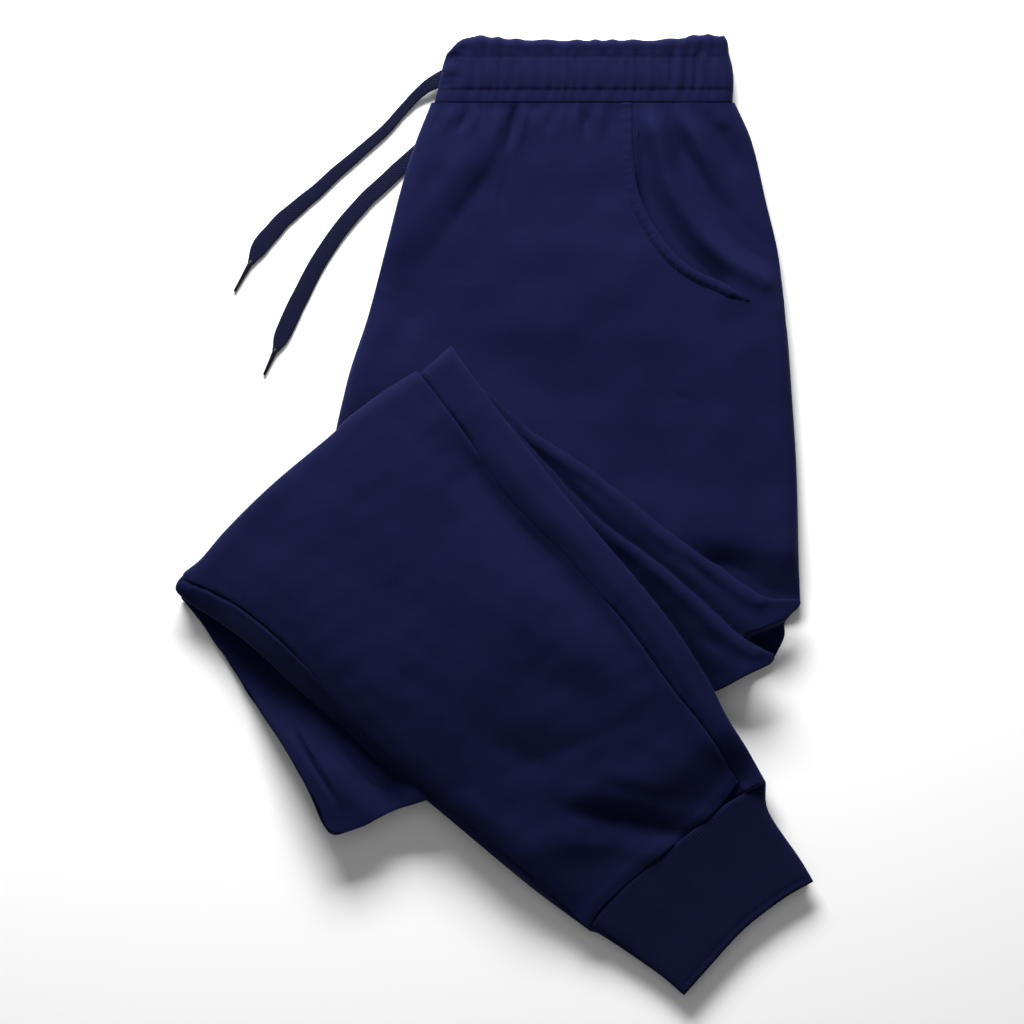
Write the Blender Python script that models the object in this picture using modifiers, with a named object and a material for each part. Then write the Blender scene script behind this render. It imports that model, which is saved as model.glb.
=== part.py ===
"""Jogger sweatpants, folded flat.

The garment is folded in half at its centre front, with the wearer's left half on top. Both legs are
then folded up at the thigh and down again at the knee, so that three stretches of leg lie on each other:

    stretch 1   seat and thigh, which lies on the surface
    stretch 2   knee part, folded back up: the left leg's below, the right leg's above it
    stretch 3   lower legs, folded down again, with the cuffs beyond the pile

Frame: +X to the side seam, +Y to the waistband, +Z up, origin in the middle of the underside.
Every table and size is in millimetres. Only the functions that make objects turn them to metres.
"""

import math
from collections import namedtuple

import bmesh
import bpy
import numpy as np

MM = 0.001

# ---- cloth ---------------------------------------------------------------------------------------
FLEECE_WALL = 2.2       # one ply of fleece
FACING_WALL = 1.8       # pocket facing
CASING_WALL = 3.0       # waistband casing: two plies with the elastic between them
CUFF_WALL = 2.0         # cuff: doubled and stretched
HEM_WALL = (0.9, 1.7, 1.1)              # turned hem of the pocket opening, across it
SEAM_GAP = 0.45         # between pieces that touch
SHARE_GAP = 0.6         # between stretches of leg that lie on each other
PANEL_GAP = 0.95        # under the top leg panel, which bends more sharply than what it lies on
LAYERS_GAP = 0.85       # from the front panel down to the layers that it lies on

# ---- heights of the pile -------------------------------------------------------------------------
SEAT_HEIGHT = 14.5      # seat: four plies
SEAT_MIDDLE = 7.0       # height of the seat's outermost edge
SEAT_CROWN = 1.4        # how much higher its middle stands
POCKET_TUCK = 1.8       # how far the facing dips at the lower end of the opening
BAND_HEIGHT = 16.5      # waistband: four casings
BAND_MIDDLE = 8.4       # height of its outermost edge
FOLD_HEIGHT = 6.5       # one flattened leg of stretch 2: two plies and the air in them
LOWER_LEG_HEIGHT = 7.0  # stretch 3 below the top panel: right leg and left back
LEG_PUFF = 4.5          # air under the top panel
CUFF_HEIGHT = 5.6       # one flattened cuff

# ---- outlines seen from above: x, y ----------------------------------------------------------------
WAIST_TOP = ((-31, 299), (-24, 305), (-13, 308.5), (20, 308), (60, 307.5), (105, 308), (149, 309))
WAIST_LEFT = ((-31, 299), (-34, 291), (-36, 282), (-41, 268))
WAIST_RIGHT = ((149, 309), (152.5, 303), (154, 290), (156, 280), (156, 268))
WAIST_LAYERS_TOP = ((-28.5, 296), (-20, 303), (-10, 308), (20, 308), (60, 307.5), (105, 308), (149, 309))
WAIST_LAYERS_LEFT = ((-28.5, 296), (-32.5, 290), (-35.5, 282), (-41, 268))
BAND_SEAM = ((-41, 267.8), (58, 267.8), (156, 267.8))
SEAT_SEAM = ((-41, 267), (58, 267), (156, 267))
PANEL_SEAM = ((-41, 267), (24, 267), (89, 267))
FACING_SEAM = ((80, 267), (156, 267))

CENTRE_FRONT = ((-41, 267), (-51, 242), (-60, 214), (-70, 175), (-82, 129), (-95, 89), (-103, 56))
HIDDEN_INSEAM = ((-107, 29), (-110, -30), (-110, -108), (-104, -160), (-93, -184))
SIDE_SEAM = ((156, 267), (167, 242), (176, 204), (186, 161), (191, 113), (197, 30), (198, -30), (199, -56))
SEAT_END = ((-93, -184), (-48, -168), (43, -133), (134, -98), (199, -56))
PANEL_LEFT = CENTRE_FRONT[:-1] + ((-103, 50),)
PANEL_SIDE = ((191, 113), (194, 75), (197, 30), (198, -30), (199, -55))
PANEL_END = ((-103, 50), (-78, 62), (-50, 78), (-22, 86), (6, 52), (64, 8), (130, -35), (199, -55))
LEGS_ON_SEAT = (
    (-103, 56), (-95, 64), (-71, 82), (-50, 95), (-28, 113), (-18, 103), (-4, 84),
    (23, 58), (59, 34), (92, 9), (122, -15), (160, -42), (199, -56),
)
POCKET_OPENING = (
    (89, 267), (89, 243), (91, 219), (95, 203), (104, 185), (117, 168), (132, 157), (148, 150), (164, 140),
    (188, 132),
)
FACING_LEFT = (
    (80, 267), (80, 243), (82, 216), (86, 199), (96, 180), (110, 163), (127, 149), (144, 142), (158, 139.6),
)
FACING_END = ((158, 139.6), (188, 133.2))
FACING_SIDE = ((156, 267), (167, 242), (176, 204), (184, 168), (188, 133.2))

BOTTOM_CREASE = ((-84, -204), (-41, -187), (50, -152), (144, -116))
LEFT_INSEAM = ((-190, -70), (-168, -97), (-138, -143), (-118, -176), (-104, -209))
LEFT_START = ((-190, -70), (-155, -30), (-122, 0), (-86, 31), (-50, 60), (-16, 82))
LEFT_CREASE = ((-104, -209),) + BOTTOM_CREASE + ((179, -97),)
LEFT_OUTSEAM = (
    (-16, 82), (-4, 79), (22, 56), (58, 32), (91, 7), (121, -17), (159, -44), (177, -55), (186, -69),
    (186, -85), (179, -97),
)
RIGHT_INSEAM = ((-188, -74), (-176, -93), (-144, -143), (-123, -178), (-103, -207))
RIGHT_START = ((-188, -74), (-153, -35), (-120, -5), (-84, 26), (-50, 54), (-22, 72))
RIGHT_CREASE = ((-103, -207),) + BOTTOM_CREASE + ((175, -99),)
RIGHT_OUTSEAM = (
    (-22, 72), (-6, 70), (10, 58), (36, 30), (67, -2), (102, -28), (136, -57), (158, -80), (172, -92),
    (175, -99),
)

BAND_CREASE = ((-196, -62), (-164, -19), (-134, 10), (-97, 41), (-66, 72), (-46, 93), (-28, 109))
OUTSEAM_EDGE = (
    (-28, 109), (-9, 82), (17, 48), (43, 15), (60, -5), (88, -38), (113, -69), (137, -106), (150, -131),
    (162, -150), (175, -173),
)
LOWER_EDGE = (
    (-196, -62), (-178, -72), (-157, -86), (-126, -114), (-98, -138), (-68, -166), (-41, -187), (-7, -215),
    (26, -243), (61, -269),
)
BACK_CUFF_SEAM = ((61, -269), (69, -254), (95, -229), (122, -208), (150, -186), (175, -173))
KNEE_CREASE = ((-206, -46), (-191, -30), (-173, -9), (-143, 20), (-106, 51), (-95, 62), (-71, 80), (-50, 93))
OUTSEAM = ((-50, 93), (-24, 59), (10, 11), (50, -30), (87, -74), (113, -110), (139, -143), (158, -174))
INSEAM = ((-206, -46), (-163, -69), (-134, -94), (-97, -129), (-65, -160), (-29, -191), (17, -228), (63, -262))
FRONT_CUFF_SEAM = ((63, -262), (70, -252), (95, -229), (122, -208), (143, -191), (158, -174))

CUFF_INNER = ((61, -270), (71, -274), (105, -297), (123, -312))
CUFF_OUTER = ((176, -174), (178, -193), (198, -223), (207, -238))
CUFF_TOP = ((61, -270), (70, -255), (96, -230), (123, -209), (151, -187), (176, -174))
CUFF_HEM = ((123, -312), (138, -295), (162, -269), (188, -249), (207, -238))
CUFF_SPAN = 110.0                       # a cuff's width
CUFFS = (
    # name          height of its underside    end of its hem   drawn in at each side, as shares
    ("cuff_right", 0.0, 0.94, 0.015),
    ("cuff_left", CUFF_HEIGHT + SHARE_GAP, 1.0, 0.0),
)

# ---- folds and creases: a row each, with its places, its half width and its depth -------------------
# Depth is how far the cloth sinks along the line; a ridge has a negative depth.
SEAT_FOLDS = (
    # start         middle        end           half width  depth
    ((-16, 268), (-20, 256), (-26, 243), 6, 2.0),
    ((12, 270), (-4, 236), (-45, 178), 13, 5.0),
    ((10, 250), (8, 225), (5, 190), 8, 2.0),
    ((58, 270), (59, 259), (60, 246), 6, 1.6),
    ((-45, 178), (-62, 130), (-66, 96), 18, 2.0),
    ((20, 150), (30, 110), (52, 70), 34, 2.0),
    ((140, -20), (160, -25), (180, -28), 13, 1.8),
    ((32, 268), (26, 230), (18, 190), 15, -1.6),
    ((74, 268), (76, 230), (82, 185), 12, -1.2),
)
POCKET_FOLDS = (
    ((105, 270), (111, 225), (146, 163), 8, 2.4),
    ((116, 270), (133, 226), (158, 186), 7, 1.8),
    ((141, 270), (143, 258), (146, 246), 6, 1.0),
)
LEG_FOLDS = (
    ((26, -190), (72, -197), (120, -206), 17, 5.5),
    ((30, -160), (70, -168), (128, -176), 17, -2.2),
    ((40, -222), (62, -226), (88, -226), 14, -2.2),
    ((-6, 30), (24, -14), (50, -36), 10, 2.2),
    ((-90, -90), (-40, -130), (20, -150), 30, 1.6),
)
# Waistband, from its lower edge up: y, then how far it stands over BAND_HEIGHT
BAND_CHANNELS = (
    # y       stand
    (267, -1.6),
    (270, 0.3),
    (272, 1.2),
    (275, 0.5),
    (277, -0.8),
    (280, 0.8),
    (288, 3.0),
    (296, 0.6),
    (297.5, -0.8),
    (299, 0.6),
    (303, 2.0),
    (307, 1.4),
    (312, -1.5),
)
GATHER_PITCH = 14.0
GATHER_DEPTH = 0.55
GATHERS_START = 268.0                   # gathers fade in above this y

# ---- edges seen in section: how far in, and how high -------------------------------------------------
# The height is a share of the piece's own: 0 its middle, 1 its surface. Rows go from the edge inwards.
LEG_EDGE = ((0.9, 0.10), (0.0, 0.45), (2.0, 0.86), (7.0, 1.0))
PLY_EDGE = ((0.0, 0.30), (1.2, 0.92), (4.5, 1.0))
ROLLED_EDGE = ((0.0, 0.0), (0.9, 0.43), (3.3, 0.77), (6.4, 0.95), (9.0, 1.0))
CUFF_EDGE = ((0.0, 0.0), (1.2, 0.62), (4.0, 0.95), (9.0, 1.0))
# Inside a rolled edge: the lower layers' own edges, in millimetres up, and then the roll over them
SEAT_LAYERS = ((2.4, 0.0), (0.4, 2.6), (2.8, 5.6))
SEAT_ROLL = ((3.3, 0.05), (5.2, 0.60), (10.0, 1.0))
WAIST_LAYERS = ((2.4, 0.0), (0.3, 1.6), (1.5, 2.9), (0.3, 4.3), (4.4, 5.2))
WAIST_ROLL = ((4.8, 0.0), (6.6, 0.5), (12.0, 1.0))

# ---- drawcord ----------------------------------------------------------------------------------------
CORD_WIDTH = 11.0
CORD_THICKNESS = 2.2
CORD_GATHERED = (0.4, 0.55, 0.75, 0.9)  # share of its width at its first points, where it is drawn together
CORD_UPPER = (
    (-38.5, 280.8, 8.2), (-43.5, 278.2, 7.2), (-47.5, 275.5, 5.4), (-52, 271, 3.4), (-57, 265.5, 2.0),
    (-62, 260, 1.5), (-68, 253, 1.5), (-74, 247, 1.5), (-82, 240, 1.5), (-90, 233, 1.5), (-97, 227, 1.5),
    (-104, 221, 1.5), (-115, 210.5, 1.5), (-123, 204, 1.5), (-131, 197, 1.5), (-138, 191, 1.5),
    (-144, 184, 1.5), (-149, 178.5, 1.5), (-153.5, 172, 1.5), (-157, 165, 1.5), (-159.5, 159, 1.5),
)
CORD_LOWER = (
    (-56.7, 229.4, 1.4), (-60, 226.6, 1.5), (-63.5, 223.4, 1.5), (-68, 219, 1.5), (-75, 212.5, 1.5),
    (-81, 205.5, 1.5), (-87, 198.5, 1.5), (-93, 191.5, 1.5), (-99, 184, 1.5), (-104, 177, 1.5),
    (-109, 169.5, 1.5), (-114, 161.5, 1.5), (-119, 152, 1.5), (-123.5, 143, 1.5), (-127.5, 135.5, 1.5),
    (-131.5, 128.5, 1.5), (-135.5, 121.5, 1.5), (-139, 115, 1.5), (-142, 108.5, 1.5), (-144, 103, 1.5),
)
TIP_LENGTH = 13.0
TIP_DIAMETER = 2.9
TIP_END_DIAMETER = 2.2
TIP_GAP = 0.4           # from the cord's end

# ---- finishes: sRGB colour, roughness -----------------------------------------------------------------
FINISHES = {
    "panel_fleece": ("171938", 0.92),
    "pocket_fleece": ("171938", 0.92),
    "waistband_casing": ("171938", 0.92),
    "cuff_rib": ("151733", 0.90),
    "drawcord_cotton": ("14162C", 0.85),
    "tip_plastic": ("17171C", 0.40),
}


# ---- curves and distances in plan -----------------------------------------------------------------

def smooth(t):
    """0 to 1 with level ends."""
    t = np.clip(t, 0.0, 1.0)
    return t * t * (3 - 2 * t)


def dense(table, steps=10):
    """A smooth curve through the rows of a table, as many short straight pieces."""
    p = np.array(table, dtype=float)
    before = np.vstack([2 * p[0] - p[1], p[:-1]])
    after = np.vstack([p[1:], 2 * p[-1] - p[-2]])
    slope = (after - before) / 2
    t = np.linspace(0, 1, steps, endpoint=False)[:, None]
    pieces = []
    for i in range(len(p) - 1):
        h1 = 2 * t**3 - 3 * t**2 + 1
        h2 = t**3 - 2 * t**2 + t
        pieces.append(h1 * p[i] + h2 * slope[i] + (1 - h1) * p[i + 1] + (t**3 - t**2) * slope[i + 1])
    return np.vstack(pieces + [p[-1:]])


def on_curve(table, fraction):
    """Places at fractions of the length of a table's curve."""
    curve = dense(table)
    run = np.concatenate([[0], np.cumsum(np.linalg.norm(np.diff(curve, axis=0), axis=1))])
    return np.stack([np.interp(fraction * run[-1], run, curve[:, k]) for k in range(curve.shape[1])], axis=-1)


def loop_of(*tables):
    """One closed outline from curves, each turned so that it goes on where the one before it ended."""
    loop = dense(tables[0])
    for table in tables[1:]:
        curve = dense(table)
        if np.linalg.norm(curve[-1] - loop[-1]) < np.linalg.norm(curve[0] - loop[-1]):
            curve = curve[::-1]
        loop = np.vstack([loop, curve])
    return loop


def distance_to(x, y, line, closed):
    """Distance to a line of straight pieces; inside a closed one it is positive, outside negative."""
    start = line if closed else line[:-1]
    end = np.roll(line, -1, axis=0) if closed else line[1:]
    best = np.full(np.shape(x), 1e9)
    inside = np.zeros(np.shape(x), dtype=bool)
    for (ax, ay), (bx, by) in zip(start, end):
        dx, dy = bx - ax, by - ay
        span = dx * dx + dy * dy
        if span < 1e-9:
            continue
        t = np.clip(((x - ax) * dx + (y - ay) * dy) / span, 0, 1)
        best = np.minimum(best, np.hypot(x - ax - t * dx, y - ay - t * dy))
        if dy:
            inside ^= ((ay > y) != (by > y)) & (x < ax + (y - ay) * dx / dy)
    return np.where(inside, best, -best) if closed else best


def relief(x, y, folds):
    """How far a table's folds and ridges move the cloth, each fading away from its line."""
    moved = np.zeros(np.shape(x))
    for start, middle, end, half_width, depth in folds:
        line = dense((start, middle, end), steps=6)
        away = distance_to(x, y, line, closed=False)
        moved -= depth * np.exp(-((away / half_width) ** 2) * 1.6)
    return moved


# ---- the pile as a map of heights ------------------------------------------------------------------

def spread(net, cells, combine):
    """Each place takes the highest or the mean of the places around it."""
    for axis in (0, 1):
        shifted = [np.roll(net, s, axis=axis) for s in range(-cells, cells + 1)]
        net = combine(shifted, axis=0)
    return net


class Pile:
    """Height of everything laid so far, on a square net of places."""

    step = 3.0

    def __init__(self):
        self.xs = np.arange(-246, 247, self.step)
        self.ys = np.arange(-351, 352, self.step)
        self.x, self.y = np.meshgrid(self.xs, self.ys)
        self.height = np.zeros(self.x.shape)

    def read(self, net, x, y):
        """A net's value at any place, between its four nearest points."""
        i = np.clip((x - self.xs[0]) / self.step, 0, len(self.xs) - 1.001)
        j = np.clip((y - self.ys[0]) / self.step, 0, len(self.ys) - 1.001)
        i0, j0 = i.astype(int), j.astype(int)
        fi, fj = i - i0, j - j0
        near = net[j0, i0] * (1 - fi) + net[j0, i0 + 1] * fi
        far = net[j0 + 1, i0] * (1 - fi) + net[j0 + 1, i0 + 1] * fi
        return near * (1 - fj) + far * fj

    def rest(self, cells):
        """Where limp cloth comes to lie: over the highest places near it, evened out."""
        return spread(spread(self.height, cells, np.max), cells - 1, np.mean)

    def lay(self, outline, base, thickness, reach):
        """Adds a piece; the cloth above it comes down within reach outside its outline."""
        near = smooth(1 + distance_to(self.x, self.y, outline, closed=True) / reach)
        self.height = np.maximum(self.height, (base + thickness) * near + base * (1 - near) * (near > 0))


# ---- nets of points for the pieces -------------------------------------------------------------------

Net = namedtuple("Net", "u v ring width length inset")


def edge_net(width, length, edge, across, along, edges=(1, 1, 1, 1), grading=1.0):
    """Fractions across and along a piece, and the row of the edge table that each point has.

    `edges` says how far left, right, start and end are drawn in, as a share of the edge table.
    """
    inset = [row[0] for row in edge]
    last = len(edge) - 1

    def stations(size, cell, graded):
        inner = max(2, round((size - 2 * inset[-1]) / cell))
        middle = (np.arange(1, inner) / inner) ** graded
        return list(range(last + 1)) + [None] * (inner - 1) + list(range(last, -1, -1)), middle

    columns, middle_u = stations(width, across, 1.0)
    rows, middle_v = stations(length, along, grading)
    u = np.zeros((len(rows), len(columns)))
    v = np.zeros_like(u)
    ring = np.zeros(u.shape, dtype=int)

    def place(own, row, size, middle, index, count, near, far):
        if own is None:
            reach = inset[-1] / size
            return reach + (1 - 2 * reach) * middle[index - last - 1]
        drawn = inset[own] if own == row else max(inset[own], inset[row] + 0.3 * (own - row))
        low_side = index < count / 2
        drawn *= (near if low_side else far) / size
        return drawn if low_side else 1 - drawn

    for j, own_row in enumerate(rows):
        for i, own_column in enumerate(columns):
            row = min(last if own_row is None else own_row, last if own_column is None else own_column)
            ring[j, i] = row
            u[j, i] = place(own_column, row, width, middle_u, i, len(columns), edges[0], edges[1])
            v[j, i] = place(own_row, row, length, middle_v, j, len(rows), edges[2], edges[3])
    return Net(u, v, ring, width, length, inset[-1])


def true_inset(fraction, nominal, actual, inset):
    """Keeps the edge rows at their real distance where the piece is wider or narrower than nominal."""
    was, now = inset / nominal, inset / actual
    inner = now + (fraction - was) / (1 - 2 * was) * (1 - 2 * now)
    from_start = fraction * nominal / actual
    from_end = 1 - (1 - fraction) * nominal / actual
    return np.where(fraction <= was, from_start, np.where(fraction >= 1 - was, from_end, inner))


def plan(left, right, start, end, u, v):
    """Places in plan inside four curves that meet at their ends."""
    side_l, side_r = on_curve(left, v), on_curve(right, v)
    side_s, side_e = on_curve(start, u), on_curve(end, u)
    u, v = u[..., None], v[..., None]
    left_start, left_end = on_curve(left, np.array([0.0, 1.0]))
    right_start, right_end = on_curve(right, np.array([0.0, 1.0]))
    corners = (1 - v) * ((1 - u) * left_start + u * right_start) + v * ((1 - u) * left_end + u * right_end)
    both = (1 - u) * side_l + u * side_r + (1 - v) * side_s + v * side_e - corners
    return both[..., 0], both[..., 1]


def plan_of(net, left, right, start, end):
    """Places in plan of a net's points inside four curves."""
    width = np.linalg.norm(on_curve(right, net.v) - on_curve(left, net.v), axis=-1)
    length = np.linalg.norm(on_curve(end, net.u) - on_curve(start, net.u), axis=-1)
    u = true_inset(net.u, net.width, np.maximum(width, 3 * net.inset), net.inset)
    v = true_inset(net.v, net.length, np.maximum(length, 3 * net.inset), net.inset)
    return plan(left, right, start, end, u, v)


# ---- objects -----------------------------------------------------------------------------------------

def linear(colour):
    """Linear red, green, blue and alpha of an sRGB hex colour."""
    values = [int(colour[i:i + 2], 16) / 255 for i in (0, 2, 4)]
    return [v / 12.92 if v <= 0.04045 else ((v + 0.055) / 1.055) ** 2.4 for v in values] + [1.0]


def material_of(finish):
    """The material of a finish, made when it is first asked for."""
    material = bpy.data.materials.get(finish)
    if material is None:
        colour, roughness = FINISHES[finish]
        material = bpy.data.materials.new(finish)
        material.use_nodes = True
        shader = material.node_tree.nodes["Principled BSDF"]
        shader.inputs["Base Color"].default_value = linear(colour)
        shader.inputs["Roughness"].default_value = roughness
        shader.inputs["Metallic"].default_value = 0.0
        material.diffuse_color = linear(colour)
    return material


def add_object(name, data, finish):
    data.materials.append(material_of(finish))
    item = bpy.data.objects.new(name, data)
    bpy.context.scene.collection.objects.link(item)
    return item


def add_mesh(name, points, faces, finish):
    mesh = bpy.data.meshes.new(name)
    mesh.from_pydata((np.asarray(points) * MM).tolist(), [], faces)
    net = bmesh.new()
    net.from_mesh(mesh)
    bmesh.ops.recalc_face_normals(net, faces=net.faces)
    net.to_mesh(mesh)
    net.free()
    mesh.shade_smooth()
    return add_object(name, mesh, finish)


def quads(rows, columns, first=0, ring=False):
    """Faces of a net of points, counted row by row."""
    span = columns if ring else columns - 1
    return [
        (first + j * columns + i, first + j * columns + (i + 1) % columns,
         first + (j + 1) * columns + (i + 1) % columns, first + (j + 1) * columns + i)
        for j in range(rows - 1) for i in range(span)
    ]


def rim_of(rows, columns):
    """The points round a net's border, in order."""
    bottom = list(range(columns))
    right = [j * columns + columns - 1 for j in range(1, rows)]
    top = [(rows - 1) * columns + i for i in range(columns - 2, -1, -1)]
    left = [j * columns for j in range(rows - 2, 0, -1)]
    return bottom + right + top + left


def as_points(x, y, z):
    return np.stack([x, y, z], axis=-1).reshape(-1, 3)


def add_slab(name, x, y, lower, upper, finish):
    """A closed piece between a lower and an upper net of points."""
    rows, columns = x.shape
    count = rows * columns
    rim = rim_of(rows, columns)
    faces = quads(rows, columns) + [face[::-1] for face in quads(rows, columns, count)]
    faces += [(rim[i], rim[i - 1], rim[i - 1] + count, rim[i] + count) for i in range(len(rim))]
    add_mesh(name, np.vstack([as_points(x, y, upper), as_points(x, y, lower)]), faces, finish)


def add_layers(name, x, y, upper, finish):
    """A closed piece with a level underside, which its border's points lie in."""
    rows, columns = x.shape
    faces = quads(rows, columns) + [tuple(rim_of(rows, columns)[::-1])]
    add_mesh(name, as_points(x, y, upper), faces, finish)


def add_wall(item, thickness):
    """Thickens an open surface inwards, away from its outer side."""
    shell = item.modifiers.new("wall", "SOLIDIFY")
    shell.thickness = thickness * MM
    shell.offset = -1


def add_ply(name, x, y, z, thickness, finish):
    """An open surface with its wall below it."""
    rows, columns = x.shape
    item = add_mesh(name, as_points(x, y, z), quads(rows, columns), finish)
    if item.data.polygons[len(item.data.polygons) // 2].normal.z < 0:
        item.data.flip_normals()
    add_wall(item, thickness)


def lifts(edge, ring):
    """The height in an edge table of each point's row."""
    return np.array([row[1] for row in edge])[ring]


def between(low, high, lift):
    """Lower and upper heights of a slab whose edges close in on its middle."""
    middle, half = (low + high) / 2, (high - low) / 2
    return middle - half * lift, middle + half * lift


def rolled(level, middle, lift):
    """Heights that come down to the middle of the pile at a folded edge."""
    return middle + (level - middle) * lift


def roll_at(x, y, edge):
    """How far the cloth has risen from a rolled edge."""
    away = distance_to(x, y, dense(edge), closed=False)
    return np.interp(away, [row[0] for row in ROLLED_EDGE], [row[1] for row in ROLLED_EDGE])


# ---- seat --------------------------------------------------------------------------------------------

def seat_level(x, y):
    """Height of the front panel, without its rolled edges."""
    under_legs = distance_to(x, y, loop_of(LEGS_ON_SEAT, SEAT_END, HIDDEN_INSEAM), closed=True)
    shown = smooth((-under_legs - 3) / 18)
    crown = SEAT_CROWN * smooth(distance_to(x, y, seat_outline(), closed=True) / 60)
    return SEAT_HEIGHT + shown * (crown + relief(x, y, SEAT_FOLDS))


def facing_level(x, y):
    tucked = POCKET_TUCK * smooth((165 - y) / 15)
    return seat_level(x, y) - FLEECE_WALL - SEAM_GAP - tucked + relief(x, y, POCKET_FOLDS)


def seat_outline():
    return loop_of(CENTRE_FRONT + HIDDEN_INSEAM, SEAT_END, SIDE_SEAM)


def make_front_panel():
    """Left front panel, from the waist seam to below the folded legs, cut away at the pocket."""
    net = edge_net(230, 300, ROLLED_EDGE, 11.6, 11.6, edges=(1, 1, 0.3, 0.3), grading=1.25)
    x, y = plan_of(net, PANEL_LEFT, POCKET_OPENING + PANEL_SIDE, PANEL_SEAM, PANEL_END)
    lift = np.minimum(roll_at(x, y, CENTRE_FRONT + HIDDEN_INSEAM), roll_at(x, y, SIDE_SEAM))
    z = rolled(seat_level(x, y), SEAT_MIDDLE, lift)
    add_ply("front_panel", x, y, z, FLEECE_WALL, "panel_fleece")
    return x, y, z


def make_pocket(panel):
    """Facing inside the pocket opening, and the opening's turned hem on the panel."""
    net = edge_net(70, 140, ROLLED_EDGE, 12, 15, edges=(0.3, 1, 0.3, 0.3))
    x, y = plan_of(net, FACING_LEFT, FACING_SIDE, FACING_SEAM, FACING_END)
    z = rolled(facing_level(x, y), SEAT_MIDDLE, roll_at(x, y, SIDE_SEAM))
    add_ply("pocket_facing", x, y, z, FACING_WALL, "pocket_fleece")

    # The hem lies on the panel's own points beside the opening, from the waist seam to its lower end.
    beside_opening = panel[1][:, -1] > 150
    rows = np.nonzero(beside_opening)[0][1:]
    columns = [-4, -3, -2]
    x, y, z = (net[np.ix_(rows, columns)] for net in panel)
    add_slab("pocket_hem", x, y, z + SEAM_GAP, z + SEAM_GAP + np.array(HEM_WALL), "pocket_fleece")


def make_seat_layers():
    """Left back, right back and right front of the seat and thigh, which the front panel lies on."""
    edge = SEAT_LAYERS + SEAT_ROLL
    net = edge_net(280, 400, edge, 18, 18, edges=(1, 1, 0, 1))
    x, y = plan_of(net, CENTRE_FRONT + HIDDEN_INSEAM, SIDE_SEAM, SEAT_SEAM, SEAT_END)
    facing = loop_of(FACING_LEFT, FACING_END, FACING_SIDE, FACING_SEAM)

    # The layers' points lie far apart, so each stays below the lowest cloth around it.
    around = [(12 * math.cos(turn * math.pi / 4), 12 * math.sin(turn * math.pi / 4)) for turn in range(8)]
    levels = []
    for dx, dy in around + [(0, 0)]:
        level = seat_level(x + dx, y + dy)
        in_pocket = smooth(1 + distance_to(x + dx, y + dy, facing, closed=True) / 8)
        below_facing = facing_level(x + dx, y + dy) - FACING_WALL + FLEECE_WALL
        levels.append(level + in_pocket * (below_facing - level))
    top = np.min(levels, axis=0) - FLEECE_WALL - LAYERS_GAP
    lift = lifts(edge, net.ring)
    z = np.where(net.ring < len(SEAT_LAYERS), lift, rolled(top, SEAT_MIDDLE, lift))
    add_layers("seat_layers", x, y, z, "panel_fleece")


# ---- waistband -----------------------------------------------------------------------------------------

def band_level(x, y):
    """Height of the casing: three stitched channels with gathers across them."""
    stand = np.interp(y, [row[0] for row in BAND_CHANNELS], [row[1] for row in BAND_CHANNELS])
    waves = np.sin(2 * math.pi * x / GATHER_PITCH + 1.3 * np.sin(x / 23)) * (0.6 + 0.4 * np.sin(x / 31))
    return BAND_HEIGHT + stand + GATHER_DEPTH * waves * smooth((y - GATHERS_START) / 8)


def make_waistband():
    net = edge_net(188, 42, ROLLED_EDGE, 6.4, 3.4, edges=(1, 1, 0.6, 0))
    x, y = plan_of(net, WAIST_LEFT, WAIST_RIGHT, WAIST_TOP, BAND_SEAM)
    rows, columns = net.ring.shape
    from_side = np.minimum(np.arange(columns), np.arange(columns)[::-1])
    ring = np.minimum(np.minimum(from_side[None, :], np.arange(rows)[:, None]), len(ROLLED_EDGE) - 1)
    z = rolled(band_level(x, y), BAND_MIDDLE, lifts(ROLLED_EDGE, ring))
    add_ply("waistband", x, y, z, CASING_WALL, "waistband_casing")

    edge = WAIST_LAYERS + WAIST_ROLL
    net = edge_net(188, 42, edge, 22, 10, edges=(1, 1, 1, 0))
    x, y = plan_of(net, WAIST_LAYERS_LEFT, WAIST_RIGHT, WAIST_LAYERS_TOP, BAND_SEAM)
    lowest = min(stand for _, stand in BAND_CHANNELS[1:-1])
    top = BAND_HEIGHT + lowest - GATHER_DEPTH - CASING_WALL - 2 * SEAM_GAP
    lift = lifts(edge, net.ring)
    z = np.where(net.ring < len(WAIST_LAYERS), lift, rolled(top, BAND_MIDDLE, lift))
    add_layers("waist_layers", x, y, z, "waistband_casing")


# ---- folded legs ---------------------------------------------------------------------------------------

def make_folds(pile):
    """Stretch 2: one flattened leg on the other, from the knee crease to the bottom crease."""
    folds = (
        ("fold_left", LEFT_INSEAM, LEFT_OUTSEAM, LEFT_START, LEFT_CREASE),
        ("fold_right", RIGHT_INSEAM, RIGHT_OUTSEAM, RIGHT_START, RIGHT_CREASE),
    )
    for name, inseam, outseam, start, crease in folds:
        base = pile.rest(3)
        net = edge_net(290, 300, LEG_EDGE, 26, 20)
        x, y = plan_of(net, inseam, outseam, start, crease)
        low = pile.read(base, x, y)
        lower, upper = between(low, low + FOLD_HEIGHT, lifts(LEG_EDGE, net.ring))
        add_slab(name, x, y, lower, upper, "panel_fleece")
        pile.lay(loop_of(inseam, crease, outseam, start), base, FOLD_HEIGHT + SHARE_GAP, 13)


def ramp_to_cuffs(pile):
    """The lower legs come down gently from the pile to the surface that it lies on."""
    top = float(pile.height.max())
    outline = loop_of(LEFT_INSEAM, LEFT_CREASE, LEFT_OUTSEAM, LEFT_START)
    beyond = distance_to(pile.x, pile.y, outline, closed=True)
    towards_cuff = 0.69 * pile.x - 0.72 * pile.y
    ramp = top * smooth(1 + beyond / 62) * smooth((towards_cuff - 40) / 50)
    pile.height = np.maximum(pile.height, ramp)


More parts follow.
